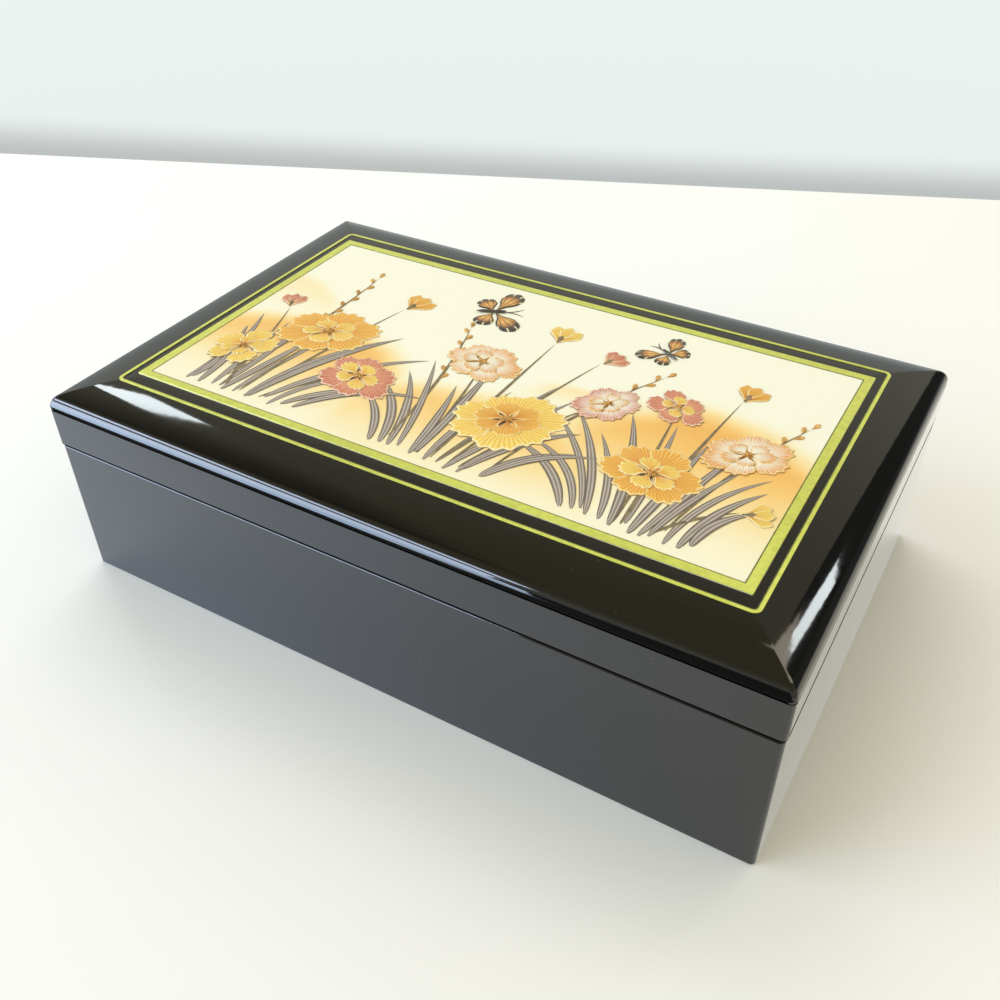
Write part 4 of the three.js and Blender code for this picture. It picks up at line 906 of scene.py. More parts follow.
# Relief picture
def petal_object(name, spread_deg, lobes, ruffle, dome, along=10, across=40):
    """One petal, fanned out from the origin along +x to a reach of 10: a raised shell with a ruffled rim, closed below.
    Each point keeps its place along it, across it, and how near it lies to the rim."""
    bm = bmesh.new()
    spot = bm.verts.layers.float_vector.new("petal")
    spread = radians(spread_deg)
    top = []
    for j in range(along + 1):
        u = 1 - (1 - j / along) ** 1.6
        row = []
        for i in range(across + 1):
            s = -1 + 2 * i / across
            v = s + 0.12 * sin(pi * s)
            wave = cos(lobes * pi * v)
            end = 1 - 0.34 * abs(v) ** 2.8 + ruffle * wave * (1 - 0.6 * abs(v))
            r = 0.6 + (10 * (1 + (end - 1) * u) - 0.6) * u
            a = spread * v * (0.3 + 0.7 * min(1.0, 1.7 * u))
            rim = max(0.0, min((1 - abs(v)) * spread * r, 10 * (1 - u) * end))
            edge = 1 - exp(-rim / 0.5)
            z = 0.05 + 0.12 * v * u + dome * edge * (0.5 + 0.35 * u + 0.2 * wave * u * u)
            vert = bm.verts.new((r * cos(a), r * sin(a), z))
            vert[spot] = Vector((u, v, max(0.0, 1 - rim / 1.6)))
            row.append(vert)
        top.append(row)
    for j in range(along):
        for i in range(across):
            bm.faces.new((top[j][i], top[j + 1][i], top[j + 1][i + 1], top[j][i + 1]))
    border = [top[0][i] for i in range(across + 1)] + [top[j][across] for j in range(1, along + 1)]
    border += [top[along][i] for i in range(across - 1, -1, -1)] + [top[j][0] for j in range(along - 1, 0, -1)]
    under = []
    for vert in border:
        low = bm.verts.new((vert.co.x, vert.co.y, -0.1))
        low[spot] = vert[spot]
        under.append(low)
    n = len(border)
    for i in range(n):
        bm.faces.new((border[i], under[i], under[(i + 1) % n], border[(i + 1) % n]))
    bm.faces.new(under)
    bmesh.ops.recalc_face_normals(bm, faces=bm.faces)
    return as_object(name, bm, None, 50)


def join_into(store, mesh, matrix):
    """Puts a grown mesh at its place and adds it to the collected ones."""
    mesh.transform(matrix)
    store.append(mesh)


def collected(name, meshes, smooth_deg=50):
    """One object from several meshes that keep their attributes."""
    objects = []
    for mesh in meshes:
        obj = in_scene(name, mesh)
        objects.append(obj)
    with bpy.context.temp_override(active_object=objects[0], selected_editable_objects=objects):
        bpy.ops.object.join()
    whole = objects[0]
    whole.name = name
    smoothed(whole.data, smooth_deg)
    return whole


# Flowers as x, y, reach, petals, outer and inner colour, squeeze, direction of the squeeze, turn and tuft
BLOOMS = [
    (-61, -5, 15.5, 6, "amber", "yellow", 0.78, 20, 10, 0),
    (-37, -22, 13.5, 6, "rose", "yellow", 0.76, -28, 0, 0),
    (-79, -25, 11.0, 5, "yellow", "yellow", 0.8, 60, 30, 0),
    (-9, 3, 12.5, 6, "white", "white", 0.8, -15, 15, 1),
    (13, -20, 16.5, 7, "yellow", "amber", 0.8, 25, 0, 1),
    (34, 1, 10.5, 6, "blush", "white", 0.76, 50, 20, 1),
    (58, -23, 14.5, 6, "amber", "yellow", 0.8, -12, 25, 2),
    (77, -3, 12.0, 6, "white", "white", 0.76, 35, 5, 2),
    (52, 9, 9.5, 5, "rose", "yellow", 0.8, -40, 12, 2),
]
# Half-open flowers seen from the side: x, y, reach, direction, colour and tuft
CUPS = [(-48, 19, 10, 72, "amber", 0), (-83, 2, 8, 108, "rose", 0), (5, 24, 10, 88, "yellow", 1),
        (23, 20, 8, 60, "rose", 1),
        (67, 21, 9, 78, "amber", 2), (84, -27, 8, 20, "yellow", 2)]
# Tufts of blades as x, y, half width of the root, lean at the left and at the right end, blades and reach
TUFTS = [(-64, -46, 19, -34, 60, 13, 52), (3, -46.5, 18, -44, 56, 13, 49), (60, -46, 17, -60, 44, 13, 52)]
# Grass ears: from, to and bend
EARS = [(-72, -40, -70, 33, 5), (-12, -42, -24, 19, 4), (20, -42, 44, 22, -6), (70, -42, 89, 17, -5)]
# Butterflies as x, y, heading and size
BUTTERFLIES = [(-22, 32, 24, 1.0), (38, 35, 150, 0.72)]


def blade_lines():
    """The blades of each tuft as root, tip, bend, width and lift. They fan out and arch over to either side."""
    rng = random.Random(23)
    lines = []
    for x, y, half, lean_0, lean_1, count, reach in TUFTS:
        for k in range(count):
            t = k / (count - 1)
            lean = lean_0 + (lean_1 - lean_0) * t + rng.uniform(-6, 6)
            length = reach * (0.5 + 0.5 * sin(pi * (0.12 + 0.76 * t))) * rng.uniform(0.72, 1.08)
            x0, y0 = x + half * (2 * t - 1) + rng.uniform(-1.5, 1.5), y + rng.uniform(-1.5, 2.0)
            x1, y1 = x0 + length * sin(radians(lean)), y0 + length * cos(radians(lean))
            bend = -length * (lean / 90 * rng.uniform(0.3, 0.5) + rng.uniform(-0.06, 0.06))
            lines.append((x0, y0, min(max(x1, -88), 88), min(y1, 44), bend, rng.uniform(0.8, 1.25),
                          rng.uniform(0.0, 0.12)))
    return lines


def curve_object(name, splines, closed=False):
    """A curve from lists of (x, y, z, radius), in millimetres."""
    curve = bpy.data.curves.new(name, "CURVE")
    curve.dimensions = "3D"
    for points in splines:
        spline = curve.splines.new("POLY")
        spline.points.add(len(points) - 1)
        spline.use_cyclic_u = closed
        for p, (x, y, z, r) in zip(spline.points, points):
            p.co, p.radius = (x * MM, y * MM, z * MM, 1), r
    obj = in_scene(name, curve)
    return obj


def bowed(x0, y0, x1, y1, bend, width, lift, n=16):
    """Points of a line that bows sideways between its ends."""
    dx, dy = x1 - x0, y1 - y0
    length = hypot(dx, dy)
    points = []
    for i in range(n + 1):
        t = i / n
        off = bend * (t * (1 - t) * 2.2 + 0.25 * t * t)
        points.append((x0 + dx * t + dy / length * off, y0 + dy * t - dx / length * off, lift, width))
    return points


def make_picture():
    """The picture panel: a sheet with a raised gold border and an olive line inside it, and in relief flowers, buds,
    grass blades and ears, and two butterflies."""
    top = PANEL_HI.z - SHEET_DROP
    rings = [rounded(PANEL_LO.x + d, PANEL_HI.x - d, PANEL_LO.y + d, PANEL_HI.y - d, 0.5, z)
             for d, z in ((0.3, PANEL_LO.z), (0, PANEL_LO.z + 0.3), (0, top - 0.05), (0.05, top))]
    sheet = as_object("picture_sheet", loft(rings), FOIL, 30)
    seat(sheet, "lid", "picture_panel", "picture_panel")
    border = as_object("picture_border", flat_band(PANEL_HI.x - 0.02, PANEL_HI.y - 0.02, BORDER_W, 0.4, top - 0.2,
                                                   PANEL_HI.z, 0.1), INK, 30)
    seat(border, "lid", "picture_panel")
    olive = as_object("olive_border_line", flat_band(PANEL_HI.x - BORDER_W, PANEL_HI.y - BORDER_W, 0.35, 0.2,
                                                     top - 0.2, PANEL_HI.z - 0.06, 0.05), OLIVE, 30)
    seat(olive, "lid", "picture_panel")
    forms = {
        "bloom": petal_object("bloom_petal", 37, 5, 0.05, 0.42),
        "cup": petal_object("cup_petal", 21, 2, 0.05, 0.42, across=20),
        "wing": petal_object("wing", 27, 3, 0.02, 0.26, across=24),
    }
    petals, hearts, stalks, seeds, wings = {colour: [] for colour in PETALS}, [], [], [], []
    ring_tree, heart_tree, line_tree = petal_ring_tree(), seed_heart_tree(), blade_tree()
    stems = []
    for number, (x, y, reach, count, outer, inner, squeeze, lean, turn, tuft) in enumerate(BLOOMS):
        place = spot_at(x, y, top + 0.1 + 0.04 * (number % 3), lean, 1, squeeze)
        for part, (share, rise, colour) in enumerate(((1.0, 0.0, outer), (0.6, 0.24, inner))):
            mesh = grown("bloom", ring_tree, Petal=forms["bloom"], Petals=count - part, Heart_radius=0.4 * MM,
                         Size=(reach * share - 0.4) / 10,
                         Seed=number * 7 + part, Finish=PETALS[colour], Size_spread=0.09, Turn_spread=0.1, Lift=0.0)
            join_into(petals[colour], mesh, place @ spot_at(0, 0, rise, turn + 31 * part, 1, 1))
        mesh = grown("heart", heart_tree, Beads=26, Spread=reach * 0.022 * MM, Bead=reach * 0.02 * MM, Crown=0.0004,
                     Finish=HEART)
        join_into(hearts, mesh, place @ spot_at(0, 0, 0.5, 0, 1, 1))
        stems.append((TUFTS[tuft][0] + (x - TUFTS[tuft][0]) * 0.3, -45, x, y, (TUFTS[tuft][0] - x) * 0.12))
    for x, y, reach, turn, colour, tuft in CUPS:
        for k, off in enumerate((-24, 24, 0)):
            put_form(petals[colour], forms["cup"], PETALS[colour],
                     spot_at(x, y, top + 0.06 + 0.12 * k, turn + off, reach / 10, reach / 10), 0.2 + 0.3 * k)
        put_form(stalks, forms["cup"], STALK, spot_at(x, y, top + 0.3, turn, reach * 0.045, reach * 0.035))
        stems.append((TUFTS[tuft][0] + (x - TUFTS[tuft][0]) * 0.3, -45, x, y, (TUFTS[tuft][0] - x) * 0.12))
    for x0, y0, x1, y1, bend in EARS:
        stems.append((x0, y0, x1, y1, bend))
        line = bowed(x0, y0, x1, y1, bend, 1, 0)
        for k in range(9):
            (xa, ya, *_), (xb, yb, *_) = line[7 + k], line[8 + k]
            turn = degrees(atan2(yb - ya, xb - xa))
            side = 0 if k == 8 else 26 if k % 2 else -26
            put_form(seeds, forms["cup"], SEED, spot_at(xb, yb, top + 0.1, turn + side, 0.36, 0.3))
    feelers = []
    for x, y, heading, size in BUTTERFLIES:
        for turn, long, wide, rise in ((118, 0.92, 1.1, 0.1), (-118, 0.92, 1.1, 0.1), (58, 1.4, 1.15, 0.2),
                                       (-58, 1.4, 1.15, 0.2)):
            put_form(wings, forms["wing"], WING, spot_at(x, y, top + rise, heading + turn, long * size, wide * size))
        body = as_object("insect", turned([(0.1, -6), (0.55, -4.5), (0.75, -2), (0.5, 0), (0.85, 1.2), (0.6, 2.4),
                                           (0.7, 3.2), (0.2, 4)], 14), INSECT, 60)
        body.data.transform(spot_at(x, y, top + 0.45, heading, size,
                                    size) @ Matrix.Diagonal((1, 1, 0.6, 1)) @ Matrix.Rotation(pi / 2, 4, "Y"))
        wings.append(body.data)
        bpy.data.objects.remove(body)
        for side in (-1, 1):
            a = radians(heading + side * 24)
            root = (x + 3.4 * size * cos(radians(heading)), y + 3.4 * size * sin(radians(heading)))
            feelers.append((*root, root[0] + 7 * size * cos(a), root[1] + 7 * size * sin(a), side * 1.2))
    section = curve_object("blade_section", [[(-1000, -50, 0, 1), (-850, 150, 0, 1), (-500, 290, 0, 1),
                                              (-170, 300, 0, 1), (0, 400, 0, 1),
                                              (170, 300, 0, 1), (500, 290, 0, 1), (850, 150, 0, 1),
                                              (1000, -50, 0, 1)]], closed=True)
    blades = []
    for store, finish, width, lines in (
            (blades, BLADE, 1.2, [bowed(*line[:6], top + line[6]) for line in blade_lines()]),
            (stalks, STALK, 0.55, [bowed(*stem, 1, top + 0.06) for stem in stems]),
            (wings, INSECT, 0.22, [bowed(*feeler, 1, top + 0.1) for feeler in feelers])):
        paths = curve_object("paths", lines)
        store.append(grown("lines", line_tree, Lines=paths, Section=section, Half_width=width * MM, Points=22,
                           Finish=finish))
        bpy.data.objects.remove(paths)
    for name, meshes in (*((f"{colour}_petals", meshes) for colour, meshes in petals.items()),
                         ("flower_hearts", hearts), ("grass_blades", blades),
                         ("flower_stalks", stalks), ("grass_ears", seeds), ("butterflies", wings)):
        seat(collected(name, meshes), "lid", "picture_panel")
    for obj in (section, *forms.values()):
        bpy.data.objects.remove(obj)


def spot_at(x, y, z, turn, long, wide):
    """A place in the picture in mm, with a turn in degrees and a size along and across."""
    return Matrix.Translation(Vector((x, y, z)) * MM) @ Matrix.Rotation(radians(turn), 4,
                                                                        "Z") @ Matrix.Diagonal((long, wide, 1, 1))


def put_form(store, form, finish, matrix, tone=0.5):
    """Adds one copy of a form to a collected mesh at its place."""
    mesh = form.data.copy()
    mesh.materials.append(finish)
    mesh.attributes.new("tone", "FLOAT", "POINT").data.foreach_set("value", [tone] * len(mesh.vertices))
    join_into(store, mesh, matrix)


# Lining, ring rolls, mirror and cover
def make_boards():
    """Velvet-covered boards: floor, dividers and the wall of the movement's well, all with soft edges."""
    plans = {"floor_lining": 0.5, "divider_left": 1.3, "divider_rings": 1.3, "divider_middle": 1.3,
             "divider_right": 1.3}
    for node, edge in plans.items():
        low, high = box_mm(node)
        board = as_object(node + "_velvet", box(low.x, high.x, low.y, high.y, low.z, high.z), VELVET)
        soften(board, edge)
        stand_for(board, node)
    low, high = box_mm("well_wall")
    t = 3.0
    outline = [(low.x, low.y), (high.x, low.y), (high.x, low.y + t), (low.x + t, low.y + t), (low.x + t, high.y),
               (low.x, high.y)]
    wall = as_object("well_wall_velvet", loft([[Vector((x, y, z)) for x, y in outline] for z in (low.z, high.z)]),
                     VELVET)
    soften(wall, 1.3)
    stand_for(wall, "well_wall")


def soften(obj, width, segments=4):
    """Rounds the edges of a covered board."""
    round_off = obj.modifiers.new("round_off", "BEVEL")
    round_off.width, round_off.segments, round_off.limit_method = width * MM, segments, "ANGLE"
    made_plain(obj)
    even_light(obj, 60)


def make_wall_lining():
    """A band of velvet on thin card that lines the four walls, folded over at its upper edge."""
    low, high, t = BAND_LO, BAND_HI, LINING_T
    section = [(0, low.z), (0, high.z - 0.5), (0.18, high.z - 0.1), (0.5 * t, high.z), (t - 0.18, high.z - 0.1),
               (t, high.z - 0.5), (t, low.z)]
    rings = [rounded(low.x + d, high.x - d, low.y + d, high.y - d, 1.6 - d * 0.6, z) for d, z in section]
    band = as_object("wall_lining_velvet", loft(rings, closed=True), VELVET)
    even_light(band, 50)
    stand_for(band, "wall_lining")


def make_mirror():
    """Mirror in the lid, held by a padded velvet frame with a rounded window."""
    mid_y = (MIRROR_LO.y + MIRROR_HI.y) / 2
    low, high = FRAME_LO.z, FRAME_HI.z
    outer = rounded(FRAME_LO.x, FRAME_HI.x, FRAME_LO.y, FRAME_HI.y, 1.0, 0, 12)
    inner = rounded(-90, 90, mid_y - 48, mid_y + 48, 4, 0, 12)

    def ring(share, z):
        return [Vector((a.x + (b.x - a.x) * share, a.y + (b.y - a.y) * share, z)) for a, b in zip(outer, inner)]
    rings = [ring(0, high), ring(0, low + 0.9), ring(0.02, low + 0.45), ring(0.07, low + 0.15), ring(0.2, low),
             ring(0.5, low),
             ring(0.8, low), ring(0.93, low + 0.15), ring(0.98, low + 0.5), ring(1, low + 1.1), ring(1, high)]
    rings.reverse()
    pad = as_object("mirror_frame_velvet", loft(rings, closed=True), VELVET)
    even_light(pad, 50)
    stand_for(pad, "mirror_frame")
    refined("mirror", MIRROR, 0.5)


def roll_shell(low, high, slack):
    """The start shape of a ring roll: a tall pad with a full round top and drawn-in ends."""
    half, mid = (high.y - low.y) / 2 - slack, (high.y + low.y) / 2
    rings = []
    stations = 28
    for i in range(stations + 1):
        t = i / stations
        share = 0.5 - 0.5 * cos(pi * t)
        x = low.x + slack + (high.x - low.x - 2 * slack) * share
        end = min(x - low.x - slack, high.x - slack - x)
        s = 0.55 + 0.45 * sqrt(max(0.0, 1 - (1 - min(1.0, end / 3.5)) ** 2))
        ring = []
        for k in range(36):
            a = 2 * pi * k / 36
            c, d = cos(a), sin(a)
            y = copysign(abs(c) ** 0.72, c) * half * s
            rise = copysign(abs(d) ** 0.62, d)
            z = low.z + slack + (high.z - low.z - 2 * slack) * (0.5 + 0.5 * rise * (0.35 + 0.65 * s) - 0.16 * (1 - s))
            ring.append(Vector((x, mid + y, z)))
        rings.append(ring)
    return rings


def make_ring_rolls():
    """Six velvet rolls over foam, blown up by cloth pressure until they press against each other. Rings are held
    between them."""
    nodes = [f"ring_roll_{i}" for i in range(1, 7)]
    spans = [box_mm(node) for node in nodes]
    rolls = as_object("ring_rolls", joined(*[loft([list(reversed(r)) for r in roll_shell(low, high, 0.55)]) for low,
                                             high in spans]), ROLL_VELVET)
    upright(rolls)
    net = rolls.modifiers.new("net", "REMESH")
    net.mode, net.voxel_size = "VOXEL", 1.5 * MM
    made_plain(rolls)
    start = [v.co.copy() for v in rolls.data.vertices]
    foot = rolls.vertex_groups.new(name="foot")
    foot.add([v.index for v in rolls.data.vertices if v.co.z < spans[0][0].z * MM + 1.4 * MM], 1.0, "REPLACE")
    swell = rolls.modifiers.new("swell", "CLOTH")
    cloth = swell.settings
    cloth.quality, cloth.mass = 5, 0.3
    cloth.use_pressure, cloth.uniform_pressure_force = True, 4.0
    cloth.tension_stiffness = cloth.compression_stiffness = cloth.shear_stiffness = 12.0
    cloth.bending_stiffness = 0.4
    cloth.effector_weights.gravity = 0.0
    cloth.vertex_group_mass = "foot"
    swell.point_cache.frame_start, swell.point_cache.frame_end = 1, 20
    for step in range(1, 21):
        bpy.context.scene.frame_set(step)
    made_plain(rolls)
    bpy.context.scene.frame_set(1)
    low_z, high_z = spans[0][0].z * MM, spans[0][1].z * MM
    for vert, before in zip(rolls.data.vertices, start):
        move = vert.co - before
        if move.length > 0.9 * MM:
            move *= 0.9 * MM / move.length
        spot = before + move
        low, high = min(spans, key=lambda span: abs((span[0].y + span[1].y) / 2 * MM - spot.y))
        vert.co = Vector((min(max(spot.x, low.x * MM), high.x * MM), min(max(spot.y, low.y * MM), high.y * MM),
                          min(max(spot.z, low_z), high_z)))
    round_off = rolls.modifiers.new("round_off", "SUBSURF")
    round_off.levels = round_off.render_levels = 1
    made_plain(rolls)
    for node, (low, high) in zip(nodes, spans):
        bm = bmesh.new()
        bm.from_mesh(rolls.data)
        away = [v for v in bm.verts if not low.y * MM - 1e-4 < v.co.y < high.y * MM + 1e-4]
        bmesh.ops.delete(bm, geom=away, context="VERTS")
        bmesh.ops.holes_fill(bm, edges=[edge for edge in bm.edges if edge.is_boundary], sides=0)
        bmesh.ops.recalc_face_normals(bm, faces=bm.faces)
        bmesh.ops.scale(bm, vec=(1 / MM, 1 / MM, 1 / MM), verts=bm.verts)
        roll = as_object(node + "_velvet", bm, ROLL_VELVET, 80)
        stand_for(roll, node)
    bpy.data.objects.remove(rolls)


def upright(obj):
    """Turns every face outwards."""
    bm = bmesh.new()
    bm.from_mesh(obj.data)
    bmesh.ops.recalc_face_normals(bm, faces=bm.faces)
    bm.to_mesh(obj.data)
    bm.free()


# Hinge, movement and key
def screw_row_tree():
    """One screw repeated on every point of the carrier, each turned a little further than the last, as a driver
    leaves them."""
    tree, add, start = new_tree("screw_row", [("Screw", "Object", None), ("Turn step", "Float", 1.1),
                                              ("Finish", "Material", None)])
    screw = add("GeometryNodeObjectInfo", Object=start["Screw"])
    index = add("GeometryNodeInputIndex")
    turn = add("Math:MULTIPLY", index, start["Turn step"])
    euler = add("CombineXYZ", Z=turn)
    rotation = add("FunctionNodeEulerToRotation", Euler=euler)
    set_in = add("GeometryNodeInstanceOnPoints", Points=start["Geometry"], Instance=screw.outputs["Geometry"],
                 Rotation=rotation)
    close_tree(add, start, set_in)
    return tree


def turned(profile, n=32):
    """A turned solid about z from a list of (radius, height), closed at both ends."""
    return loft([[Vector((r * cos(2 * pi * i / n), r * sin(2 * pi * i / n), z)) for i in range(n)] for r, z in profile])


def threaded(root, crest, z_low, z_high, pitch):
    """The profile of a thread's ridges between two heights, from below."""
    profile = []
    z = z_low
    while z + pitch <= z_high:
        profile += [(root, z + 0.1 * pitch), (crest, z + 0.45 * pitch), (crest, z + 0.55 * pitch),
                    (root, z + 0.9 * pitch)]
        z += pitch
    return profile


def screw_object(name, head, body, length, sunk, slot_w, cross):
    """A screw with its head's top at z 0, hanging down: a countersunk or a cheese head, a thread, and a slot or a
    cross."""
    head_h = 1.2
    thread = threaded(body * 0.72, body, -length + 1.0, -head_h - 0.3, 0.55)
    top = [(body * 0.72, -head_h - 0.2), (head - 0.12, -0.32), (head, -0.2), (head, -0.08),
           (head - 0.1, 0)] if sunk else [
        (body * 0.72, -head_h - 0.25), (body * 0.8, -head_h), (head, -head_h), (head, -0.25), (head - 0.08, -0.1),
        (head - 0.25, 0)]
    screw = as_object(name, turned([(0.12, -length), (body * 0.55, -length + 0.8)] + thread + top, 28))
    cutters = [box(-head * 0.62 if cross else -head - 1, head * 0.62 if cross else head + 1, -slot_w / 2, slot_w / 2,
                   -0.65, 1)]
    if cross:
        cutters.append(box(-slot_w / 2, slot_w / 2, -head * 0.62, head * 0.62, -0.65, 1))
    carved(screw, cutters)
    smoothed(screw.data, 35)
    return screw


def set_screws(name, tree, screw, finish, nodes, up=True):
    """Puts a screw where each of the solids is, with its head up or down."""
    spans = [box_mm(node) for node in nodes]
    carrier = bpy.data.meshes.new(name)
    side = 1 if up else -1
    head_z = spans[0][1].z if up else spans[0][0].z
    carrier.from_pydata([(((low.x + high.x) / 2) * MM, side * ((low.y + high.y) / 2) * MM, side * head_z * MM) for low,
                         high in spans], [], [])
    mesh = grown(name, tree, carrier, Screw=screw, Finish=finish)
    if not up:
        mesh.transform(Matrix.Rotation(pi, 4, "X"))
    row = in_scene(name, mesh)
    return stand_for(row, *nodes)


def make_hinge():
    """Piano hinge of brass-plated steel: two leaves, eleven knuckles on one pin, and countersunk screws."""
    refined("hinge_leaf_base", HINGE_BRASS, 0.1)
    refined("hinge_leaf_lid", HINGE_BRASS, 0.1)
    refined("hinge_pin", STEEL, 0.15)
    tree = screw_row_tree()
    screw = screw_object("hinge_screw", 1.5, 0.9, 6.0, True, 0.42, True)
    set_screws("base_hinge_screws", tree, screw, HINGE_BRASS, [f"base_hinge_screw_{i}" for i in range(1, 5)])
    set_screws("lid_hinge_screws", tree, screw, HINGE_BRASS, [f"lid_hinge_screw_{i}" for i in range(1, 5)], up=False)
    bpy.data.objects.remove(screw)
    screw = screw_object("comb_screw_form", 1.8, 1.15, 8.4, False, 0.5, False)
    set_screws("comb_screws", tree, screw, STEEL, ["comb_screw_1", "comb_screw_2"])
    bpy.data.objects.remove(screw)


PIN_ROWS, PINS_PER_ROW, PIN_H = 18, 5, 0.5


def make_cylinder():
    """The pinned cylinder: a brass tube with bright end rims and ninety steel pins, each of which plucks one tooth
    of the comb."""
    low, high = box_mm("cylinder")
    axis_y, axis_z, r = (low.y + high.y) / 2, (low.z + high.z) / 2, (high.y - low.y) / 2 - PIN_H
    length = high.x - low.x
    profile = [(1.35, 0.35), (4.6, 0.35), (4.8, 0.0), (r - 0.25, 0.0), (r, 0.25), (r, 0.55), (r - 0.06, 0.6),
               (r - 0.06, length - 0.6),
               (r, length - 0.55), (r, length - 0.25), (r - 0.25, length), (4.8, length), (4.6, length - 0.35),
               (1.35, length - 0.35)]
    drum = as_object("drum", turned(profile, 96), WORKS_BRASS, 30)
    drum.data.transform(Matrix.Translation(Vector((low.x, axis_y, axis_z)) * MM) @ Matrix.Rotation(pi / 2, 4, "Y"))
    pitch = (length - 1.5) / PIN_ROWS
    carrier = bpy.data.meshes.new("pin_places")
    places, facing = [], []
    for row in range(PIN_ROWS):
        for k in range(PINS_PER_ROW):
            wander = ((row * 7 + k * 11 + (row * k) % 5) % 13) / 13
            a = 2 * pi * (k + 0.15 + 0.7 * wander) / PINS_PER_ROW
            out = Vector((0, -sin(a), cos(a)))
            places.append((Vector((low.x + 0.75 + pitch * (row + 0.5), axis_y, axis_z)) + out * (r - 0.3)) * MM)
            facing += list(out)
    carrier.from_pydata(places, [], [])
    carrier.attributes.new("facing", "FLOAT_VECTOR", "POINT").data.foreach_set("vector", facing)
    studs = grown("pins", stud_tree(), carrier, Height=(PIN_H + 0.3) * MM, Foot_radius=0.2 * MM, Tip_radius=0.13 * MM,
                  Sides=8, Finish=STEEL)
    mesh = drum.data
    bpy.data.objects.remove(drum)
    stand_for(collected("pinned_cylinder", [mesh, studs], 35), "cylinder")


def make_movement():
    """The musical movement: cast bedplate, spring barrel, pinned cylinder, comb, gear train, worm and fan."""
    make_cylinder()
    for node, finish, edge in (
            ("bedplate", ZINC, 0.3), ("spring_barrel", WORKS_BRASS, 0.12), ("winding_arbor", STEEL, 0.15),
            ("cylinder_staff", STEEL, 0.05),
            ("train_wheel", WORKS_BRASS, 0.06), ("comb", COMB_STEEL, 0.05), ("governor_bracket", WORKS_BRASS, 0.15),
            ("idler_staff", STEEL, 0.05),
            ("worm_wheel", WORKS_BRASS, 0.05), ("governor_worm", STEEL, 0.03), ("governor_fan", NYLON, 0.12),
            ("stop_rod", STEEL, 0.15),
            ("movement_screw_1", STEEL, 0.15), ("movement_screw_2", STEEL, 0.15), ("movement_screw_3", STEEL, 0.15),
            ("winding_key", KEY_BRASS, 0.45), ("movement_cover", ACRYLIC, 0.12), ("bottom_board", BOARD, 0.3)):
        refined(node, finish, edge)


make_lid()
make_base()
make_gold_lines()
make_picture()
make_boards()
make_wall_lining()
make_mirror()
make_ring_rolls()
make_hinge()
make_movement()


# Camera, table and light
def make_camera():
    """Camera at the photograph's place, found from the edges of the box."""
    azimuth, elevation, roll, distance = 0.5377, 0.6762, -0.012, 308.464
    target = Vector((11.3348, -21.8025, 40))
    back = Vector((sin(azimuth) * cos(elevation), -cos(azimuth) * cos(elevation), sin(elevation)))
    right = (-back).cross(Vector((0, 0, 1))).normalized()
    up = right.cross(-back)
    right, up = cos(roll) * right + sin(roll) * up, -sin(roll) * right + cos(roll) * up
    view = bpy.data.cameras.new("camera")
    view.sensor_width, view.lens = 36, 36 * 1.044142
    camera = in_scene("camera", view)
    place = Matrix((right, up, back)).transposed().to_4x4()
    place.translation = (target + back * distance) * MM
    camera.matrix_world = place
    view.clip_start, view.clip_end = 0.01, 50
    bpy.context.scene.camera = camera


def make_stage():
    """White table. Its far edge lies where the photograph's table meets the wall, and it reaches well out on the
    other sides."""
    corners = [(-4.0, -3.2, 0), (4.0, -3.2, 0), (4.0, 1.971, 0), (-4.0, -1.277, 0)]
    mesh = bpy.data.meshes.new("table")
    mesh.from_pydata(corners, [], [(0, 1, 2, 3)])
    mesh.materials.append(TABLE)
    table = in_scene("table", mesh)
    # Dark cards in front of the box and at its back right, painted dark reflections, and glowing window panes at the
    # front left, painted reflections of daylight. Only polished things show them.
    near, far = (compass((108, -10, 66), turn, 0, 1.5) for turn in (78.5, 58))
    flat_sheets("black_cards", DARK_REFLECTION_CARD, [
        [(-0.45, -0.19, 0.002), (-0.45, -0.135, 0.002), (-0.03, -0.135, 0.002), (-0.03, -0.19, 0.002)],
        [(-0.03, -0.34, 0.002), (-0.03, -0.135, 0.002), (0.24, -0.135, 0.002), (0.24, -0.34, 0.002)],
        [(-0.05, -0.34, 0), (0.24, -0.34, 0), (0.24, -0.34, 0.11), (-0.05, -0.34, 0.11)],
        [(near.x, near.y, 0.3), (far.x, far.y, 0.3), (far.x, far.y, 1.5), (near.x, near.y, 1.5)]])
    right, left = (-0.43, -1.19), (-1.18, -0.38)
    flat_sheets("window_panes", WINDOW_REFLECTION_GLOW, [
        [(-0.07, -0.19, 0.003), (-0.035, -0.40, 0.003), (-0.24, -1.19, 0.003), (*left, 0.003), (-0.42, -0.19, 0.003)],
        [(*right, 0), (*left, 0), (*left, 0.42), (*right, 0.42)],
        [(*right, 0.58), (*left, 0.58), (*left, 0.80), (*right, 0.80)],
        [(-0.24, -1.19, 0), (*right, 0), (*right, 0.1), (-0.24, -1.19, 0.1)]])


def flat_sheets(name, finish, sheets):
    """Flat sheets that stand or lie on the table out of the picture and that only polished things show."""
    mesh = bpy.data.meshes.new(name)
    points = [point for sheet in sheets for point in sheet]
    ends = [sum(len(sheet) for sheet in sheets[:k]) for k in range(len(sheets) + 1)]
    mesh.from_pydata(points, [], [tuple(range(a, b)) for a, b in zip(ends, ends[1:])])
    mesh.materials.append(finish)
    obj = in_scene(name, mesh)
    for sight in ("camera", "diffuse", "shadow", "transmission"):
        setattr(obj, "visible_" + sight, False)


def compass(seen_from, azimuth, elevation, distance):
    """A place in a direction from a point of the box, given in mm. The azimuth turns anticlockwise from +x."""
    a, e = radians(azimuth), radians(elevation)
    return Vector(seen_from) * MM + Vector((cos(a) * cos(e), sin(a) * cos(e), sin(e))) * distance


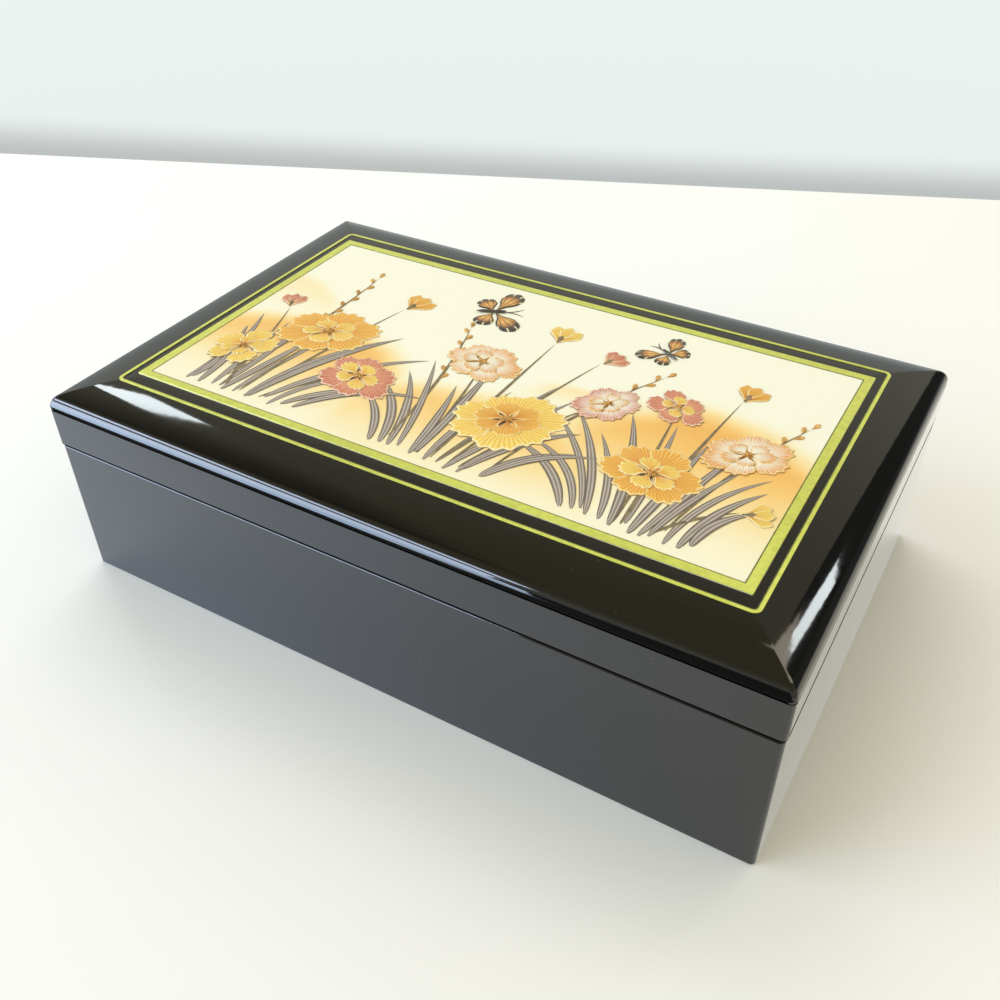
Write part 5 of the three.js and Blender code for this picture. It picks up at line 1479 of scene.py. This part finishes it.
def make_light():
    """A pale room with darker parts, a broad warm light overhead at the back, bluish daylight front left, and two
    small bright windows."""
    world = bpy.data.worlds.new("room")
    bpy.context.scene.world = world
    world.use_nodes = True
    tree = world.node_tree
    add = functools.partial(add_node, tree)
    direction = add("TexCoord").outputs["Generated"]
    height = add("SeparateXYZ", direction)
    share = add("MapRange", height.outputs["Z"], -1.0, 1.0)
    room = add("ValToRGB", share, ramp=[
        (0.30, "#e8eeec"), (0.50, "#f1f7f5"), (0.53, "#d2dad6"), (0.59, "#cfd6d0"), (0.67, "#e6e6d8"),
        (0.74, "#e2e0cc"), (0.82, "#c0bba2"),
        (0.88, "#b6af92"), (0.94, "#aca37e"), (1.0, "#aea27c")])
    # The wall is a little darker just above the table: painted shade where wall and table meet.
    above = add("VectorMath:DOT_PRODUCT", direction, (-0.1398, 0.3433, 0.9288))
    off = add("Math:ABSOLUTE", above)
    foot = add("MapRange", off, 0.0, 0.035, 0.62, 1.0, interpolation_type="SMOOTHSTEP")
    # Darker parts of the room, which only reflections show: azimuth, elevation, inner and outer reach, and the
    # light that is left
    dim = foot
    for azimuth, elevation, inner, outer, left in ((180, 53, 7, 20, 0.38), (46, 20, 17, 30, 0.2),
                                                   (-90, 6, 13, 19, 0.2)):
        near = add("VectorMath:DOT_PRODUCT", direction, compass((0, 0, 0), azimuth, elevation, 1.0))
        shade = add("MapRange", near, cos(radians(outer)), cos(radians(inner)), 1.0, left,
                    interpolation_type="SMOOTHSTEP")
        dim = add("Math:MULTIPLY", dim, shade)
    # The whole room gives the soft light of the shadows.
    path = add("LightPath")
    plain = add("Math:MULTIPLY_ADD", path.outputs["Is Diffuse Ray"], 0.36, foot)
    level = add("Mix", path.outputs["Is Glossy Ray"], plain, dim, data_type="FLOAT")
    fill(tree.nodes["Background"], Color=room, Strength=level)
    for name, seen_from, azimuth, elevation, distance, size, power, tint, shown in (
            ("skylight_back", (0, 0, 0), 48, 62, 1.2, (0.66, 0.66), 4.0, "#fff2dc", "glossy"),
            ("daylight_behind", (0, 0, 0), 128, 58, 2.6, (1.70, 1.50), 18.0, "#f0f0ff", "diffuse"),
            ("daylight_front_left", (-60, -73, 64), -142, 32, 2.2, (1.70, 1.60), 25.5, "#c6dcff", "diffuse"),
            ("window_back_left", (-88, -62, 67), 153, 40.5, 1.3, (0.14, 0.12), 0.62, "#f0fbff", "both"),
            ("window_back_right", (109, -41, 66), 72.4, 40.3, 1.3, (0.07, 0.135), 0.36, "#f6feff", "both")):
        light = bpy.data.lights.new(name, "AREA")
        light.shape, light.size, light.size_y, light.energy = "RECTANGLE", size[0], size[1], power
        light.color = linear(tint)[:3]
        lamp = in_scene(name, light)
        lamp.location = compass(seen_from, azimuth, elevation, distance)
        lamp.rotation_euler = (Vector(seen_from) * MM - lamp.location).to_track_quat("-Z", "Y").to_euler()
        lamp.visible_camera, lamp.visible_glossy, lamp.visible_diffuse = False, shown != "diffuse", shown != "glossy"


make_camera()
make_stage()
make_light()
bpy.context.scene.view_settings.view_transform = "Standard"
